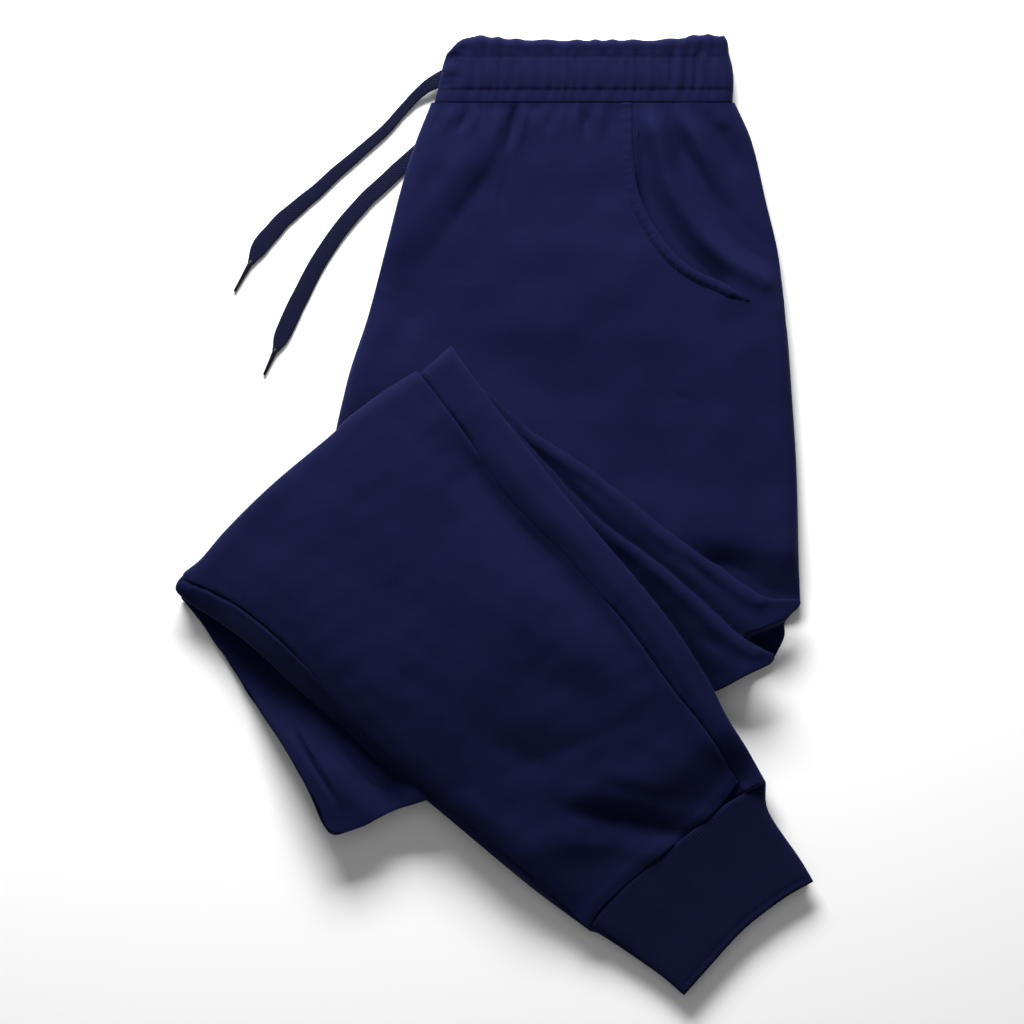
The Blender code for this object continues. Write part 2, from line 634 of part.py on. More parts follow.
def make_lower_legs(pile):
    """Stretch 3: the left back panel with the right leg under it, and the left front panel on top."""
    base = pile.rest(4)
    net = edge_net(190, 330, LEG_EDGE, 21, 19)
    x, y = plan_of(net, LOWER_EDGE, OUTSEAM_EDGE, BAND_CREASE, BACK_CUFF_SEAM)
    low = pile.read(base, x, y)
    lower, upper = between(low, low + LOWER_LEG_HEIGHT, lifts(LEG_EDGE, net.ring))
    add_slab("leg_back", x, y, lower, upper, "panel_fleece")
    outline = loop_of(LOWER_EDGE, BACK_CUFF_SEAM, OUTSEAM_EDGE, BAND_CREASE)
    pile.lay(outline, base, LOWER_LEG_HEIGHT + PANEL_GAP, 12)

    base = pile.rest(3)
    net = edge_net(165, 330, PLY_EDGE, 13, 13)
    x, y = plan_of(net, INSEAM, OUTSEAM, KNEE_CREASE, FRONT_CUFF_SEAM)
    low = pile.read(base, x, y)
    slope_x = (pile.read(base, x + 2, y) - pile.read(base, x - 2, y)) / 4
    slope_y = (pile.read(base, x, y + 2) - pile.read(base, x, y - 2)) / 4
    wall = FLEECE_WALL * np.sqrt(1 + slope_x**2 + slope_y**2)
    inside = distance_to(x, y, loop_of(INSEAM, FRONT_CUFF_SEAM, OUTSEAM, KNEE_CREASE), closed=True)
    puff = smooth(inside / 40) * (LEG_PUFF + np.maximum(relief(x, y, LEG_FOLDS), -LEG_PUFF))
    lower, upper = between(low + puff, low + puff + wall, lifts(PLY_EDGE, net.ring))
    add_slab("leg_front", x, y, lower, upper, "panel_fleece")


# ---- cuffs ---------------------------------------------------------------------------------------------

def make_cuff(name, floor, end, drawn_in):
    """A flattened tube, open at its hem and at the leg."""
    left = [inset / CUFF_SPAN for inset, _ in CUFF_EDGE]
    heights = [height for _, height in CUFF_EDGE]
    middle = list(np.linspace(left[-1], 1 - left[-1], 9)[1:-1])
    across = np.array(left + middle + [1 - share for share in left[::-1]])
    lift = np.array(heights + [1.0] * len(middle) + heights[::-1])
    across = np.concatenate([across, across[-2:0:-1]])
    lift = np.concatenate([lift, -lift[-2:0:-1]])

    net_u, net_v = np.meshgrid(drawn_in + across * (1 - 2 * drawn_in), np.linspace(0, end, 6))
    x, y = plan(CUFF_INNER, CUFF_OUTER, CUFF_TOP, CUFF_HEM, net_u, net_v)
    z = floor + CUFF_HEIGHT / 2 * (1 + lift)[None, :] * np.ones(x.shape)
    item = add_mesh(name, as_points(x, y, z), quads(*x.shape, ring=True), "cuff_rib")
    add_wall(item, CUFF_WALL)


# ---- drawcord -------------------------------------------------------------------------------------------

def make_cord(name, route):
    """A flat cord that lies on the surface: a curve with a flat section."""
    curve = bpy.data.curves.new(name, "CURVE")
    curve.dimensions = "3D"
    curve.twist_mode = "Z_UP"
    curve.extrude = (CORD_WIDTH - CORD_THICKNESS) / 2 * MM
    curve.bevel_depth = CORD_THICKNESS / 2 * MM
    curve.bevel_resolution = 1
    curve.use_fill_caps = True
    spline = curve.splines.new("POLY")
    spline.points.add(len(route) - 1)
    for point, place in zip(spline.points, route):
        point.co = (*(value * MM for value in place), 1)
        point.tilt = math.pi / 2
    for point, share in zip(spline.points, CORD_GATHERED):
        point.radius = share
    add_object(name, curve, "drawcord_cotton")


def make_tip(name, route):
    """The stiff end of a cord, in line with its last stretch."""
    end, before = np.array(route[-1]), np.array(route[-3])
    way = (end - before) / np.linalg.norm(end - before)
    net = bmesh.new()
    bmesh.ops.create_cone(
        net, cap_ends=True, segments=12, radius1=TIP_DIAMETER / 2 * MM, radius2=TIP_END_DIAMETER / 2 * MM,
        depth=TIP_LENGTH * MM,
    )
    mesh = bpy.data.meshes.new(name)
    net.to_mesh(mesh)
    net.free()
    item = add_object(name, mesh, "tip_plastic")
    item.location = (end + way * (TIP_LENGTH / 2 + TIP_GAP)) * MM
    item.rotation_euler = (math.pi / 2, 0, math.atan2(way[1], way[0]) + math.pi / 2)


def make_garment():
    make_pocket(make_front_panel())
    make_seat_layers()
    make_waistband()

    pile = Pile()
    pile.lay(seat_outline(), np.zeros(pile.x.shape), SEAT_HEIGHT + SHARE_GAP, 18)
    make_folds(pile)
    ramp_to_cuffs(pile)
    make_lower_legs(pile)

    for name, floor, end, drawn_in in CUFFS:
        make_cuff(name, floor, end, drawn_in)
    for side, route in (("upper", CORD_UPPER), ("lower", CORD_LOWER)):
        make_cord("drawcord_" + side, route)
        make_tip("tip_" + side, route)


for old in list(bpy.data.objects):
    bpy.data.objects.remove(old, do_unlink=True)
make_garment()
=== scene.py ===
# %% [markdown]
# # Jogger sweatpants, folded flat
#
# A pair of navy fleece joggers lies on a pale floor. The garment is folded in half at its centre front,
# and its legs are folded up at the thigh and down again at the knee. The lesson builds each cut piece as
# a fine sheet of points that is laid on the plain solid of the imported model, presses creases into it,
# and then gives it a knit that has loops, nap and a soft sheen.

# %% Start from the imported model
import math
from collections import namedtuple

import bmesh
import bpy
import numpy as np
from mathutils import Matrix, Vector
from mathutils.bvhtree import BVHTree


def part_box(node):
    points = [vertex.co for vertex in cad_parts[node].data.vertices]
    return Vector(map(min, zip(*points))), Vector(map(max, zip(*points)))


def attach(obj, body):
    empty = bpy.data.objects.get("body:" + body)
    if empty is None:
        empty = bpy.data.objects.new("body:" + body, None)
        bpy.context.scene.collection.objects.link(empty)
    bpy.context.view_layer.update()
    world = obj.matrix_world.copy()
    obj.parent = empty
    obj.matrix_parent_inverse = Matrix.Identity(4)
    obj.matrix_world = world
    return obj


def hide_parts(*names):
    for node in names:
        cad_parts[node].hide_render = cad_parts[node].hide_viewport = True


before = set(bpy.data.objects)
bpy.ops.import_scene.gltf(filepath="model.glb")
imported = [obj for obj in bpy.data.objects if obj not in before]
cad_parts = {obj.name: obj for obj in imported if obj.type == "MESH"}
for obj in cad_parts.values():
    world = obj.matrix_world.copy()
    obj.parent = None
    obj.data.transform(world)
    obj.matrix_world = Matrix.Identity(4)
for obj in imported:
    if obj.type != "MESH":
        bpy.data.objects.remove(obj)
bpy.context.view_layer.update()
MM = 0.001
print("nodes in the packed model:", len(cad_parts))

# %% [markdown]
# ## Camera
#
# The garment is seen from straight above. A long lens far away keeps the pile's height from spreading its
# outline, as a product photographer's copy stand does.

# %% Camera
CAMERA_HEIGHT = 5.0
SENSOR_WIDTH = 36.0
VIEW_WIDTH = 0.6656
VIEW_MIDDLE = (0.01138, 0.00163)
camera = bpy.data.objects.new("camera", bpy.data.cameras.new("camera"))
bpy.context.scene.collection.objects.link(camera)
camera.data.sensor_width = SENSOR_WIDTH
camera.data.lens = SENSOR_WIDTH * CAMERA_HEIGHT / VIEW_WIDTH
camera.data.clip_end = 20.0
camera.location = (*VIEW_MIDDLE, CAMERA_HEIGHT)
bpy.context.scene.camera = camera
print(f"lens {camera.data.lens:.0f} mm at {CAMERA_HEIGHT} m")

# %% [markdown]
# ## Colours and nodes
#
# Dyers' colours are noted as sRGB hex values. Blender's shaders want linear light, so one function turns
# them. A second small function adds a shader node with its settings and links, so a material reads as a
# short list of steps.

# %% Helpers for colours and nodes
def linear(colour):
    """Linear red, green, blue and alpha of an sRGB hex colour."""
    values = [int(colour[i:i + 2], 16) / 255 for i in (0, 2, 4)]
    return [v / 12.92 if v <= 0.04045 else ((v + 0.055) / 1.055) ** 2.4 for v in values] + [1.0]


def add_node(tree, kind, inputs=None, **settings):
    """A node with its settings; an input is a value, or another node's output to link."""
    node = tree.nodes.new("ShaderNode" + kind)
    for name, value in settings.items():
        setattr(node, name, value)
    for key, value in (inputs or {}).items():
        if isinstance(value, bpy.types.NodeSocket):
            tree.links.new(value, node.inputs[key])
        else:
            node.inputs[key].default_value = value
    return node


def new_material(name, **shader_inputs):
    """A material, its node tree and its Principled shader, with values for that shader's own inputs."""
    material = bpy.data.materials.new(name)
    material.use_nodes = True
    tree = material.node_tree
    shader = tree.nodes["Principled BSDF"]
    for key, value in shader_inputs.items():
        shader.inputs[key.replace("_", " ")].default_value = value
    return material, tree, shader


def set_look(tree, shader, share, dark, light, height, strength, depth):
    """Colour between two tones by a share, and relief from a height, into a shader."""
    colour = add_node(tree, "Mix", {0: share, 6: linear(dark), 7: linear(light)}, data_type="RGBA")
    tree.links.new(colour.outputs[2], shader.inputs["Base Color"])
    bump = add_node(tree, "Bump", {"Height": height, "Strength": strength, "Distance": depth * MM})
    tree.links.new(bump.outputs[0], shader.inputs["Normal"])


# %% [markdown]
# ## Drawcord braid
#
# The drawcord is a flat tubular braid of cotton, 11 mm wide, with plaited strands that run at a slant from
# both edges. It has no nap, so it looks a little blacker than the fleece, and it has almost no sheen. Two
# crossed sets of slanted waves give the plait, in relief and in colour: the grooves between strands are
# painted darker as painted shade, and the crests lighter. The strands are 1.1 mm apart on the real cord,
# and are drawn 1.6 mm apart so that they show.

# %% Braid material
STRAND = 1.6
STRAND_SLANT = 52
# A wave texture with this scale repeats once in each unit of its coordinates
ONE_WAVE = 6.283 / 20


def make_braid():
    material, tree, shader = new_material(
        "cotton braid", Roughness=0.82, IOR=1.5, Specular_IOR_Level=0.08, Sheen_Weight=0.06,
        Sheen_Roughness=0.5)
    place = add_node(tree, "TexCoord").outputs["UV"]
    waves = []
    for slant in (1, -1):
        angle = slant * math.radians(STRAND_SLANT)
        turned = add_node(tree, "Mapping", {"Vector": place, "Rotation": (0, 0, angle)}).outputs[0]
        waves.append(add_node(tree, "TexWave", {
            "Vector": turned, "Scale": ONE_WAVE / STRAND,
            "Distortion": 0.6, "Detail": 1.0, "Detail Scale": 2.0,
        }).outputs["Fac"])
    plait = add_node(tree, "Math", {0: waves[0], 1: waves[1]}, operation="MAXIMUM").outputs[0]
    # The colour follows the plait's height: painted shade in the grooves between strands, lighter on the
    # crests
    set_look(tree, shader, plait, "05081C", "0A0D29", plait, strength=0.6, depth=0.4)
    return material


braid = make_braid()
print("made", braid.name)

# %% [markdown]
# ## Drawcord
#
# Its two free ends come out of the waistband and from under the front edge, and lie on the surface. Each is
# a flat band that is drawn together where it leaves the garment and again where its tip is clamped on. A
# band is built as a mesh: a flattened oval section is carried along a smooth route, with its width looked
# up at each point. A curve object would do for a round cord, but a flat one needs to change width.

# %% Curves through listed points
def dense(table, steps=10):
    """A smooth curve through the rows of a table, as many short straight pieces."""
    p = np.array(table, dtype=float)
    before = np.vstack([2 * p[0] - p[1], p[:-1]])
    after = np.vstack([p[1:], 2 * p[-1] - p[-2]])
    slope = (after - before) / 2
    t = np.linspace(0, 1, steps, endpoint=False)[:, None]
    pieces = []
    for i in range(len(p) - 1):
        h1 = 2 * t**3 - 3 * t**2 + 1
        h2 = t**3 - 2 * t**2 + t
        pieces.append(h1 * p[i] + h2 * slope[i] + (1 - h1) * p[i + 1] + (t**3 - t**2) * slope[i + 1])
    return np.vstack(pieces + [p[-1:]])


def on_curve(table, fraction):
    """Places at fractions of the length of a table's curve."""
    curve = dense(table)
    run = np.concatenate([[0], np.cumsum(np.linalg.norm(np.diff(curve, axis=0), axis=1))])
    return np.stack([np.interp(fraction * run[-1], run, curve[:, k]) for k in range(curve.shape[1])], axis=-1)


def length_of(table):
    """Length of a table's curve."""
    return float(np.linalg.norm(np.diff(dense(table), axis=0), axis=1).sum())


def smooth(t):
    """0 to 1 with level ends."""
    t = np.clip(t, 0.0, 1.0)
    return t * t * (3 - 2 * t)


def ramp(value, start, end):
    """0 at the start and before it, 1 at the end and after it; the end may also be the lower number."""
    return smooth((value - start) / (end - start))


def look_up(value, table):
    """The second number of a table's rows at any value of the first."""
    return np.interp(value, [row[0] for row in table], [row[1] for row in table])


def bump_at(value, middle, reach):
    """1 where a value is at the middle, fading to 0 beyond its reach."""
    return np.exp(-((value - middle) / reach) ** 2)


# %% Meshes from nets of points
def quads(rows, columns, first=0, ring=False):
    """Faces of a net of points, counted row by row."""
    span = columns if ring else columns - 1
    return [
        (first + j * columns + i, first + j * columns + (i + 1) % columns,
         first + (j + 1) * columns + (i + 1) % columns, first + (j + 1) * columns + i)
        for j in range(rows - 1) for i in range(span)
    ]


def closed_tube(rows, sides):
    """Faces of a tube of points, with a lid on each end."""
    lids = [tuple(range(sides)), tuple(range((rows - 1) * sides, rows * sides))]
    return quads(rows, sides, ring=True) + lids


def add_piece(name, points, faces, material, uv=None):
    """A smooth mesh in millimetres, with its material, which rides with the garment."""
    mesh = bpy.data.meshes.new(name)
    mesh.from_pydata((np.asarray(points) * MM).tolist(), [], faces)
    if uv is not None:
        layer = mesh.uv_layers.new(name="cloth")
        corners = np.array([loop.vertex_index for loop in mesh.loops])
        layer.data.foreach_set("uv", np.asarray(uv)[corners].ravel())
    net = bmesh.new()
    net.from_mesh(mesh)
    bmesh.ops.recalc_face_normals(net, faces=net.faces)
    net.to_mesh(mesh)
    net.free()
    mesh.shade_smooth()
    mesh.materials.append(material)
    item = bpy.data.objects.new(name, mesh)
    bpy.context.scene.collection.objects.link(item)
    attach(item, "root")
    return item


# %% Cord routes, and the band along them
CORD_THICKNESS = 2.0
CORD_UPPER = (
    (-34.2, 283.4, 5.6), (-38.8, 281.0, 5.6), (-43.5, 278.2, 5.4), (-47.5, 275.0, 4.4), (-52, 271, 3.0),
    (-57, 265.5, 2.0), (-62, 260, 1.5), (-68, 253, 1.5), (-74, 247, 1.5), (-82, 240, 1.5),
    (-90, 233, 1.5), (-97, 227, 1.5), (-104, 221, 1.5), (-115, 210.5, 1.5), (-123, 204, 1.5),
    (-131, 197, 1.5), (-138, 191, 1.5), (-144, 184, 1.5), (-149, 178.5, 1.5), (-153, 173, 1.5),
    (-156, 168, 1.5), (-158.6, 163, 1.5),
)
CORD_LOWER = (
    (-50.4, 235.0, 1.4), (-55.5, 230.5, 1.4), (-60.3, 226.2, 1.5), (-63.5, 223.4, 1.5), (-68, 219, 1.5),
    (-75, 212.5, 1.5), (-82, 206.2, 1.5), (-88.2, 199.4, 1.5), (-94.4, 192.4, 1.5), (-100.4, 184.9, 1.5),
    (-105.5, 177.8, 1.5), (-110.5, 170.3, 1.5), (-115.5, 162.2, 1.5), (-120.5, 152.8, 1.5),
    (-125, 143.7, 1.5), (-128.9, 136.1, 1.5), (-132.2, 129, 1.5), (-135.4, 121.9, 1.5),
    (-138.5, 115.2, 1.5), (-141, 109.5, 1.5), (-142.8, 106, 1.5),
)
# How wide the band lies along each route: share of the length, width in mm
UPPER_WIDTHS = (
    (0, 10.0), (0.05, 8.6), (0.1, 6.9), (0.2, 6.6), (0.42, 7.6), (0.62, 9.0), (0.8, 10.8), (0.93, 11.6),
    (0.975, 7.5), (1, 2.6),
)
LOWER_WIDTHS = (
    (0, 10.0), (0.08, 10.0), (0.3, 10.2), (0.6, 10.8), (0.85, 11.4), (0.94, 10.6), (0.98, 6.5), (1, 2.6),
)
CORD_ROWS, CORD_SIDES = 150, 20
# Share of the length over which a band's first end is cut on the skew
SKEW_REACH = 0.14
FLOOR_GAP = 0.15


def make_cord(name, route, widths, slope, skew):
    """A flat band along a route, its section an oval; slope tilts it in turns to one side and the other."""
    count, sides = CORD_ROWS, CORD_SIDES
    along = np.linspace(0, 1, count)
    centre = on_curve(route, along)
    way = np.gradient(centre, axis=0)
    side = np.stack([-way[:, 1], way[:, 0], np.zeros(count)], axis=1)
    side /= np.linalg.norm(side, axis=1)[:, None]
    width = look_up(along, widths)
    width = np.convolve(np.pad(width, 4, mode="edge"), np.ones(9) / 9, mode="valid")
    # Where the band is drawn together it keeps its full height, where it spreads it is a little thinner
    height = np.minimum(CORD_THICKNESS, CORD_THICKNESS * (0.75 + 1.6 / width))
    turn = np.linspace(0, 2 * math.pi, sides, endpoint=False)
    across = np.sign(np.cos(turn)) * np.abs(np.cos(turn)) ** 0.6 / 2
    up = np.sign(np.sin(turn)) * np.abs(np.sin(turn)) ** 0.8 / 2
    tilt = slope * np.sin(along * 7.0) * smooth(along * 6)
    points = (
        centre[:, None, :] + side[:, None, :] * (width[:, None] * across)[..., None]
        + np.array([0, 0, 1.0]) * (height[:, None] * up + tilt[:, None] * np.maximum(across, 0))[..., None]
    )
    way /= np.linalg.norm(way, axis=1)[:, None]
    shift = skew * np.maximum(1 - along / SKEW_REACH, 0) ** 2 * width
    points += way[:, None, :] * (shift[:, None] * across)[..., None]
    points[..., 2] = np.maximum(points[..., 2], FLOOR_GAP)
    run = along * length_of(route)
    uv = np.stack([np.broadcast_to(run[:, None], (count, sides)), width[:, None] * across], axis=-1)
    faces = closed_tube(count, sides)
    cord = add_piece(name, points.reshape(-1, 3), faces, braid, uv.reshape(-1, 2))
    return cord, centre


# %% [markdown]
# ## Cord tips
#
# Each end is gripped in a tube of heat-shrunk acetate film, as a shoelace's is, so that it doesn't fray. The
# tube is 20 mm long, narrows a little to its end, and is nearly black and glossier than everything else.

# %% Tips
tip_film, _, _ = new_material(
    "heat-shrunk acetate tip", Base_Color=linear("0E0F1A"), Roughness=0.32, IOR=1.48,
    Specular_IOR_Level=0.12)
TIP_SIDES = 16
TIP_SECTION = ((0.0, 1.2), (0.02, 1.8), (0.2, 1.6), (0.6, 1.2), (0.96, 0.95), (1.0, 0.7))


def make_tip(name, start, end):
    """A narrow tube from start to end; each row of its section is a share of its length and a radius."""
    start, end = np.array(start), np.array(end)
    way = (end - start) / np.linalg.norm(end - start)
    side = np.array([-way[1], way[0], 0])
    turn = np.linspace(0, 2 * math.pi, TIP_SIDES, endpoint=False)
    points = [
        start + (end - start) * share + radius * (math.cos(a) * side + math.sin(a) * np.array([0, 0, 1.0]))
        for share, radius in TIP_SECTION for a in turn
    ]
    return add_piece(name, points, closed_tube(len(TIP_SECTION), TIP_SIDES), tip_film)


cords = {}
for side, route, widths, slope, skew, tip_end in (
        ("upper", CORD_UPPER, UPPER_WIDTHS, 0.5, 0.9, (-169.0, 144.8, 1.3)),
        ("lower", CORD_LOWER, LOWER_WIDTHS, 0.7, 1.4, (-149.8, 90.6, 1.3))):
    cords[side], centre = make_cord("cord_" + side, route, widths, slope, skew)
    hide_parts("drawcord_" + side)
    tip = make_tip("acetate_tip_" + side, centre[-3], tip_end)
    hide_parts("tip_" + side)
    print(f"{side} cord is {length_of(route):.0f} mm long")

# %% [markdown]
# ## Fleece
#
# Sweatshirt fleece has a fine plain knit on its face, one loop about 1 mm wide, and the light nap that
# brushing raises. Dyed navy, it is nearly black in a fold and a deep blue on a crest, because the fibre ends
# catch grazing light. Principled's sheen is made for that. The knit is a net of small V shapes: across a
# loop the height falls and rises, and each row is shifted along by that amount. It is drawn 1.3 mm wide so
# that it shows. Fine noise is the nap, and broad noise is the slightly uneven dye.

# %% Knit material
LOOP_WIDTH = 1.3
LOOP_HEIGHT = 1.0


def make_knit(name, dark, light, grain=0.0, ribs=0.0, sheen=0.17):
    """Knitted cloth; grain turns the knit in plan, in degrees, and ribs is their distance in mm."""
    material, tree, shader = new_material(
        name, Roughness=0.88, IOR=1.46, Specular_IOR_Level=0.1, Sheen_Weight=sheen, Sheen_Roughness=0.45,
        Sheen_Tint=linear("5A62A8"))
    place = add_node(tree, "TexCoord").outputs["Object"]
    turned = add_node(tree, "Mapping", {"Vector": place, "Rotation": (0, 0, math.radians(grain))}).outputs[0]
    parts = add_node(tree, "SeparateXYZ", {0: turned}).outputs

    def calculate(operation, a, b=0.0):
        return add_node(tree, "Math", {0: a, 1: b}, operation=operation).outputs[0]

    def weighted(a, a_share, b, b_share):
        return calculate("ADD", calculate("MULTIPLY", a, a_share), calculate("MULTIPLY", b, b_share))

    across = calculate("DIVIDE", parts[0], LOOP_WIDTH * MM)
    along = calculate("DIVIDE", parts[1], LOOP_HEIGHT * MM)
    fold = calculate("ABSOLUTE", calculate("SUBTRACT", calculate("FRACT", across), 0.5))
    shifted = calculate("ADD", along, calculate("MULTIPLY", fold, 1.3))
    row = calculate("ABSOLUTE", calculate("SUBTRACT", calculate("FRACT", shifted), 0.5))
    loops = calculate("MULTIPLY", calculate("SUBTRACT", 0.62, row), calculate("SUBTRACT", 0.75, fold))

    def noise(scale, rough):
        return add_node(tree, "TexNoise", {
            "Vector": place, "Scale": scale, "Detail": 3.0, "Roughness": rough}).outputs["Fac"]

    nap, dye = noise(1500.0, 0.65), noise(75.0, 0.6)
    tone = weighted(nap, 0.7, dye, 0.3)
    shade = add_node(tree, "MapRange", {"Value": tone, "From Min": 0.25, "From Max": 0.75}).outputs[0]
    height = weighted(loops, 0.8, nap, 0.5)
    if ribs:
        rib = calculate("SINE", calculate("MULTIPLY", parts[0], 2 * math.pi / (ribs * MM)))
        height = calculate("ADD", height, calculate("MULTIPLY", rib, 0.5))
    set_look(tree, shader, shade, dark, light, height, strength=0.45, depth=0.35)
    return material


PANEL_TONES = ("070A26", "0C1035")
fleece = {
    "seat": make_knit("brushed fleece, seat", *PANEL_TONES, grain=8.0),
    "pocket": make_knit("brushed fleece, pocket", *PANEL_TONES),
    "band": make_knit("brushed fleece, waistband", "070925", "0B0F32", grain=90.0),
    "fold": make_knit("brushed fleece, folded legs", *PANEL_TONES, grain=-38.0),
    "leg": make_knit("brushed fleece, lower legs", *PANEL_TONES, grain=-43.0),
    "cuff": make_knit("rib knit, cuffs", "070A24", "0B0F2F", grain=-45.0, ribs=1.9, sheen=0.14),
}
print("made", len(fleece), "cloths")

# %% [markdown]
# ## Reading the plain solids
#
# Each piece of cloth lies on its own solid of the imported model, so that the garment keeps its size. Rays
# from above and below read that solid's height on a square raster of places. The rays near its edges are
# dropped and filled in from their neighbours, because every edge gets a rounder section of its own later,
# and the raster is then evened out so that the solid's flat faces don't show.

# %% Height rasters
STEP = 3.0
# A height in metres above everything, where rays start
ABOVE_ALL = 0.2
EDGE_RINGS, FILL_ROUNDS, EVEN_ROUNDS = 2, 14, 2
raster_x = np.arange(-225, 226, STEP)
raster_y = np.arange(-330, 331, STEP)


def spread(net):
    """Mean of the known values around each place; unknown ones are nan."""
    known = ~np.isnan(net)
    total, count = np.zeros(net.shape), np.zeros(net.shape)
    for dx in (-1, 0, 1):
        for dy in (-1, 0, 1):
            total += np.roll(np.where(known, net, 0), (dy, dx), axis=(0, 1))
            count += np.roll(known, (dy, dx), axis=(0, 1))
    return np.where(count > 0, total / np.maximum(count, 1), np.nan)


def height_raster(node, side):
    """Height of a solid's upper (side 1) or lower (side -1) face, carried on beyond its edges."""
    tree = BVHTree.FromObject(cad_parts[node], bpy.context.evaluated_depsgraph_get())
    way = Vector((0, 0, -side))
    net = np.full((len(raster_y), len(raster_x)), np.nan)
    low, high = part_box(node)
    for j in np.nonzero((raster_y > low.y / MM) & (raster_y < high.y / MM))[0]:
        for i in np.nonzero((raster_x > low.x / MM) & (raster_x < high.x / MM))[0]:
            start = Vector((raster_x[i] * MM, raster_y[j] * MM, side * ABOVE_ALL))
            hit = tree.ray_cast(start, way)[0]
            if hit is not None:
                net[j, i] = hit.z / MM
    for _ in range(EDGE_RINGS):
        near_edge = np.zeros(net.shape, dtype=bool)
        for shift in ((0, 1), (0, -1), (1, 0), (-1, 0)):
            near_edge |= np.isnan(np.roll(net, shift, axis=(0, 1)))
        net[near_edge] = np.nan
    for _ in range(FILL_ROUNDS):
        net = np.where(np.isnan(net), spread(net), net)
    for _ in range(EVEN_ROUNDS):
        net = spread(net)
    return np.where(np.isnan(net), 0.0, net)


def read(net, x, y):
    """A raster's value at any place, between its four nearest points."""
    i = np.clip((x - raster_x[0]) / STEP, 0, len(raster_x) - 1.001)
    j = np.clip((y - raster_y[0]) / STEP, 0, len(raster_y) - 1.001)
    i0, j0 = i.astype(int), j.astype(int)
    fi, fj = i - i0, j - j0
    near = net[j0, i0] * (1 - fi) + net[j0, i0 + 1] * fi
    far = net[j0 + 1, i0] * (1 - fi) + net[j0 + 1, i0 + 1] * fi
    return near * (1 - fj) + far * fj


upper = {node: height_raster(node, 1) for node in (
    "front_panel", "pocket_facing", "fold_left", "fold_right", "leg_back", "leg_front")}
lower = {node: height_raster(node, -1) for node in ("fold_left", "fold_right", "leg_back", "leg_front")}
print("read", len(upper) + len(lower), "rasters of", raster_x.size * raster_y.size, "places")

# %% [markdown]
# ## Nets between four edges
#
# A pattern piece has four edges. A net of points between them follows the cut, so seams and hems come out
# clean. Close to an edge its rows lie at fixed distances, to give the edge a rolled section.

# %% Net helpers
Net = namedtuple("Net", "u v ring width length inset")
# Least distance between rows that run together at a corner
CORNER_STEP = 0.3


def edge_net(width, length, edge, cell, edges=(1, 1, 1, 1)):
    """Fractions across and along a piece, and the row of the edge table that each point has.

    `edges` says how far left, right, start and end are drawn in, as a share of the edge table.
    """
    inset = [row[0] for row in edge]
    last = len(edge) - 1

    def stations(size, near, far):
        first, end = inset[-1] * near / size, 1 - inset[-1] * far / size
        inner = max(2, round((end - first) * size / cell)) + 1
        before, after = (last if near else 0), (last if far else 0)
        own = list(range(before)) + [last] * inner + list(range(after - 1, -1, -1))
        return own, [None] * before + list(np.linspace(first, end, inner)) + [None] * after

    columns, inside_u = stations(width, edges[0], edges[1])
    rows, inside_v = stations(length, edges[2], edges[3])
    u = np.zeros((len(rows), len(columns)))
    v = np.zeros_like(u)
    ring = np.zeros(u.shape, dtype=int)

    def place(own, row, inside, size, share, at_start):
        if inside is not None:
            return inside
        drawn = inset[own] if own == row else max(inset[own], inset[row] + CORNER_STEP * (own - row))
        drawn *= share / size
        return drawn if at_start else 1 - drawn

    for j, own_row in enumerate(rows):
        for i, own_column in enumerate(columns):
            row = min(own_row, own_column)
            ring[j, i] = row
            at_left, at_start = i < len(columns) / 2, j < len(rows) / 2
            u[j, i] = place(own_column, row, inside_u[i], width, edges[0 if at_left else 1], at_left)
            v[j, i] = place(own_row, row, inside_v[j], length, edges[2 if at_start else 3], at_start)
    return Net(u, v, ring, width, length, inset[-1])


def true_inset(fraction, nominal, actual, inset):
    """Keeps the edge rows at their real distance where the piece is wider or narrower than nominal."""
    was, now = inset / nominal, inset / actual
    inner = now + (fraction - was) / (1 - 2 * was) * (1 - 2 * now)
    from_start = fraction * nominal / actual
    from_end = 1 - (1 - fraction) * nominal / actual
    return np.where(fraction <= was, from_start, np.where(fraction >= 1 - was, from_end, inner))


def plan(left, right, start, end, u, v):
    """Places in plan inside four curves that meet at their ends."""
    side_l, side_r = on_curve(left, v), on_curve(right, v)
    side_s, side_e = on_curve(start, u), on_curve(end, u)
    u, v = u[..., None], v[..., None]
    left_start, left_end = on_curve(left, np.array([0.0, 1.0]))
    right_start, right_end = on_curve(right, np.array([0.0, 1.0]))
    corners = (1 - v) * ((1 - u) * left_start + u * right_start) + v * ((1 - u) * left_end + u * right_end)
    both = (1 - u) * side_l + u * side_r + (1 - v) * side_s + v * side_e - corners
    return both[..., 0], both[..., 1]


def plan_of(net, left, right, start, end):
    """Places in plan of a net's points inside four curves."""
    width = np.linalg.norm(on_curve(right, net.v) - on_curve(left, net.v), axis=-1)
    length = np.linalg.norm(on_curve(end, net.u) - on_curve(start, net.u), axis=-1)
    u = true_inset(net.u, net.width, np.maximum(width, 3 * net.inset), net.inset)
    v = true_inset(net.v, net.length, np.maximum(length, 3 * net.inset), net.inset)
    return plan(left, right, start, end, u, v)
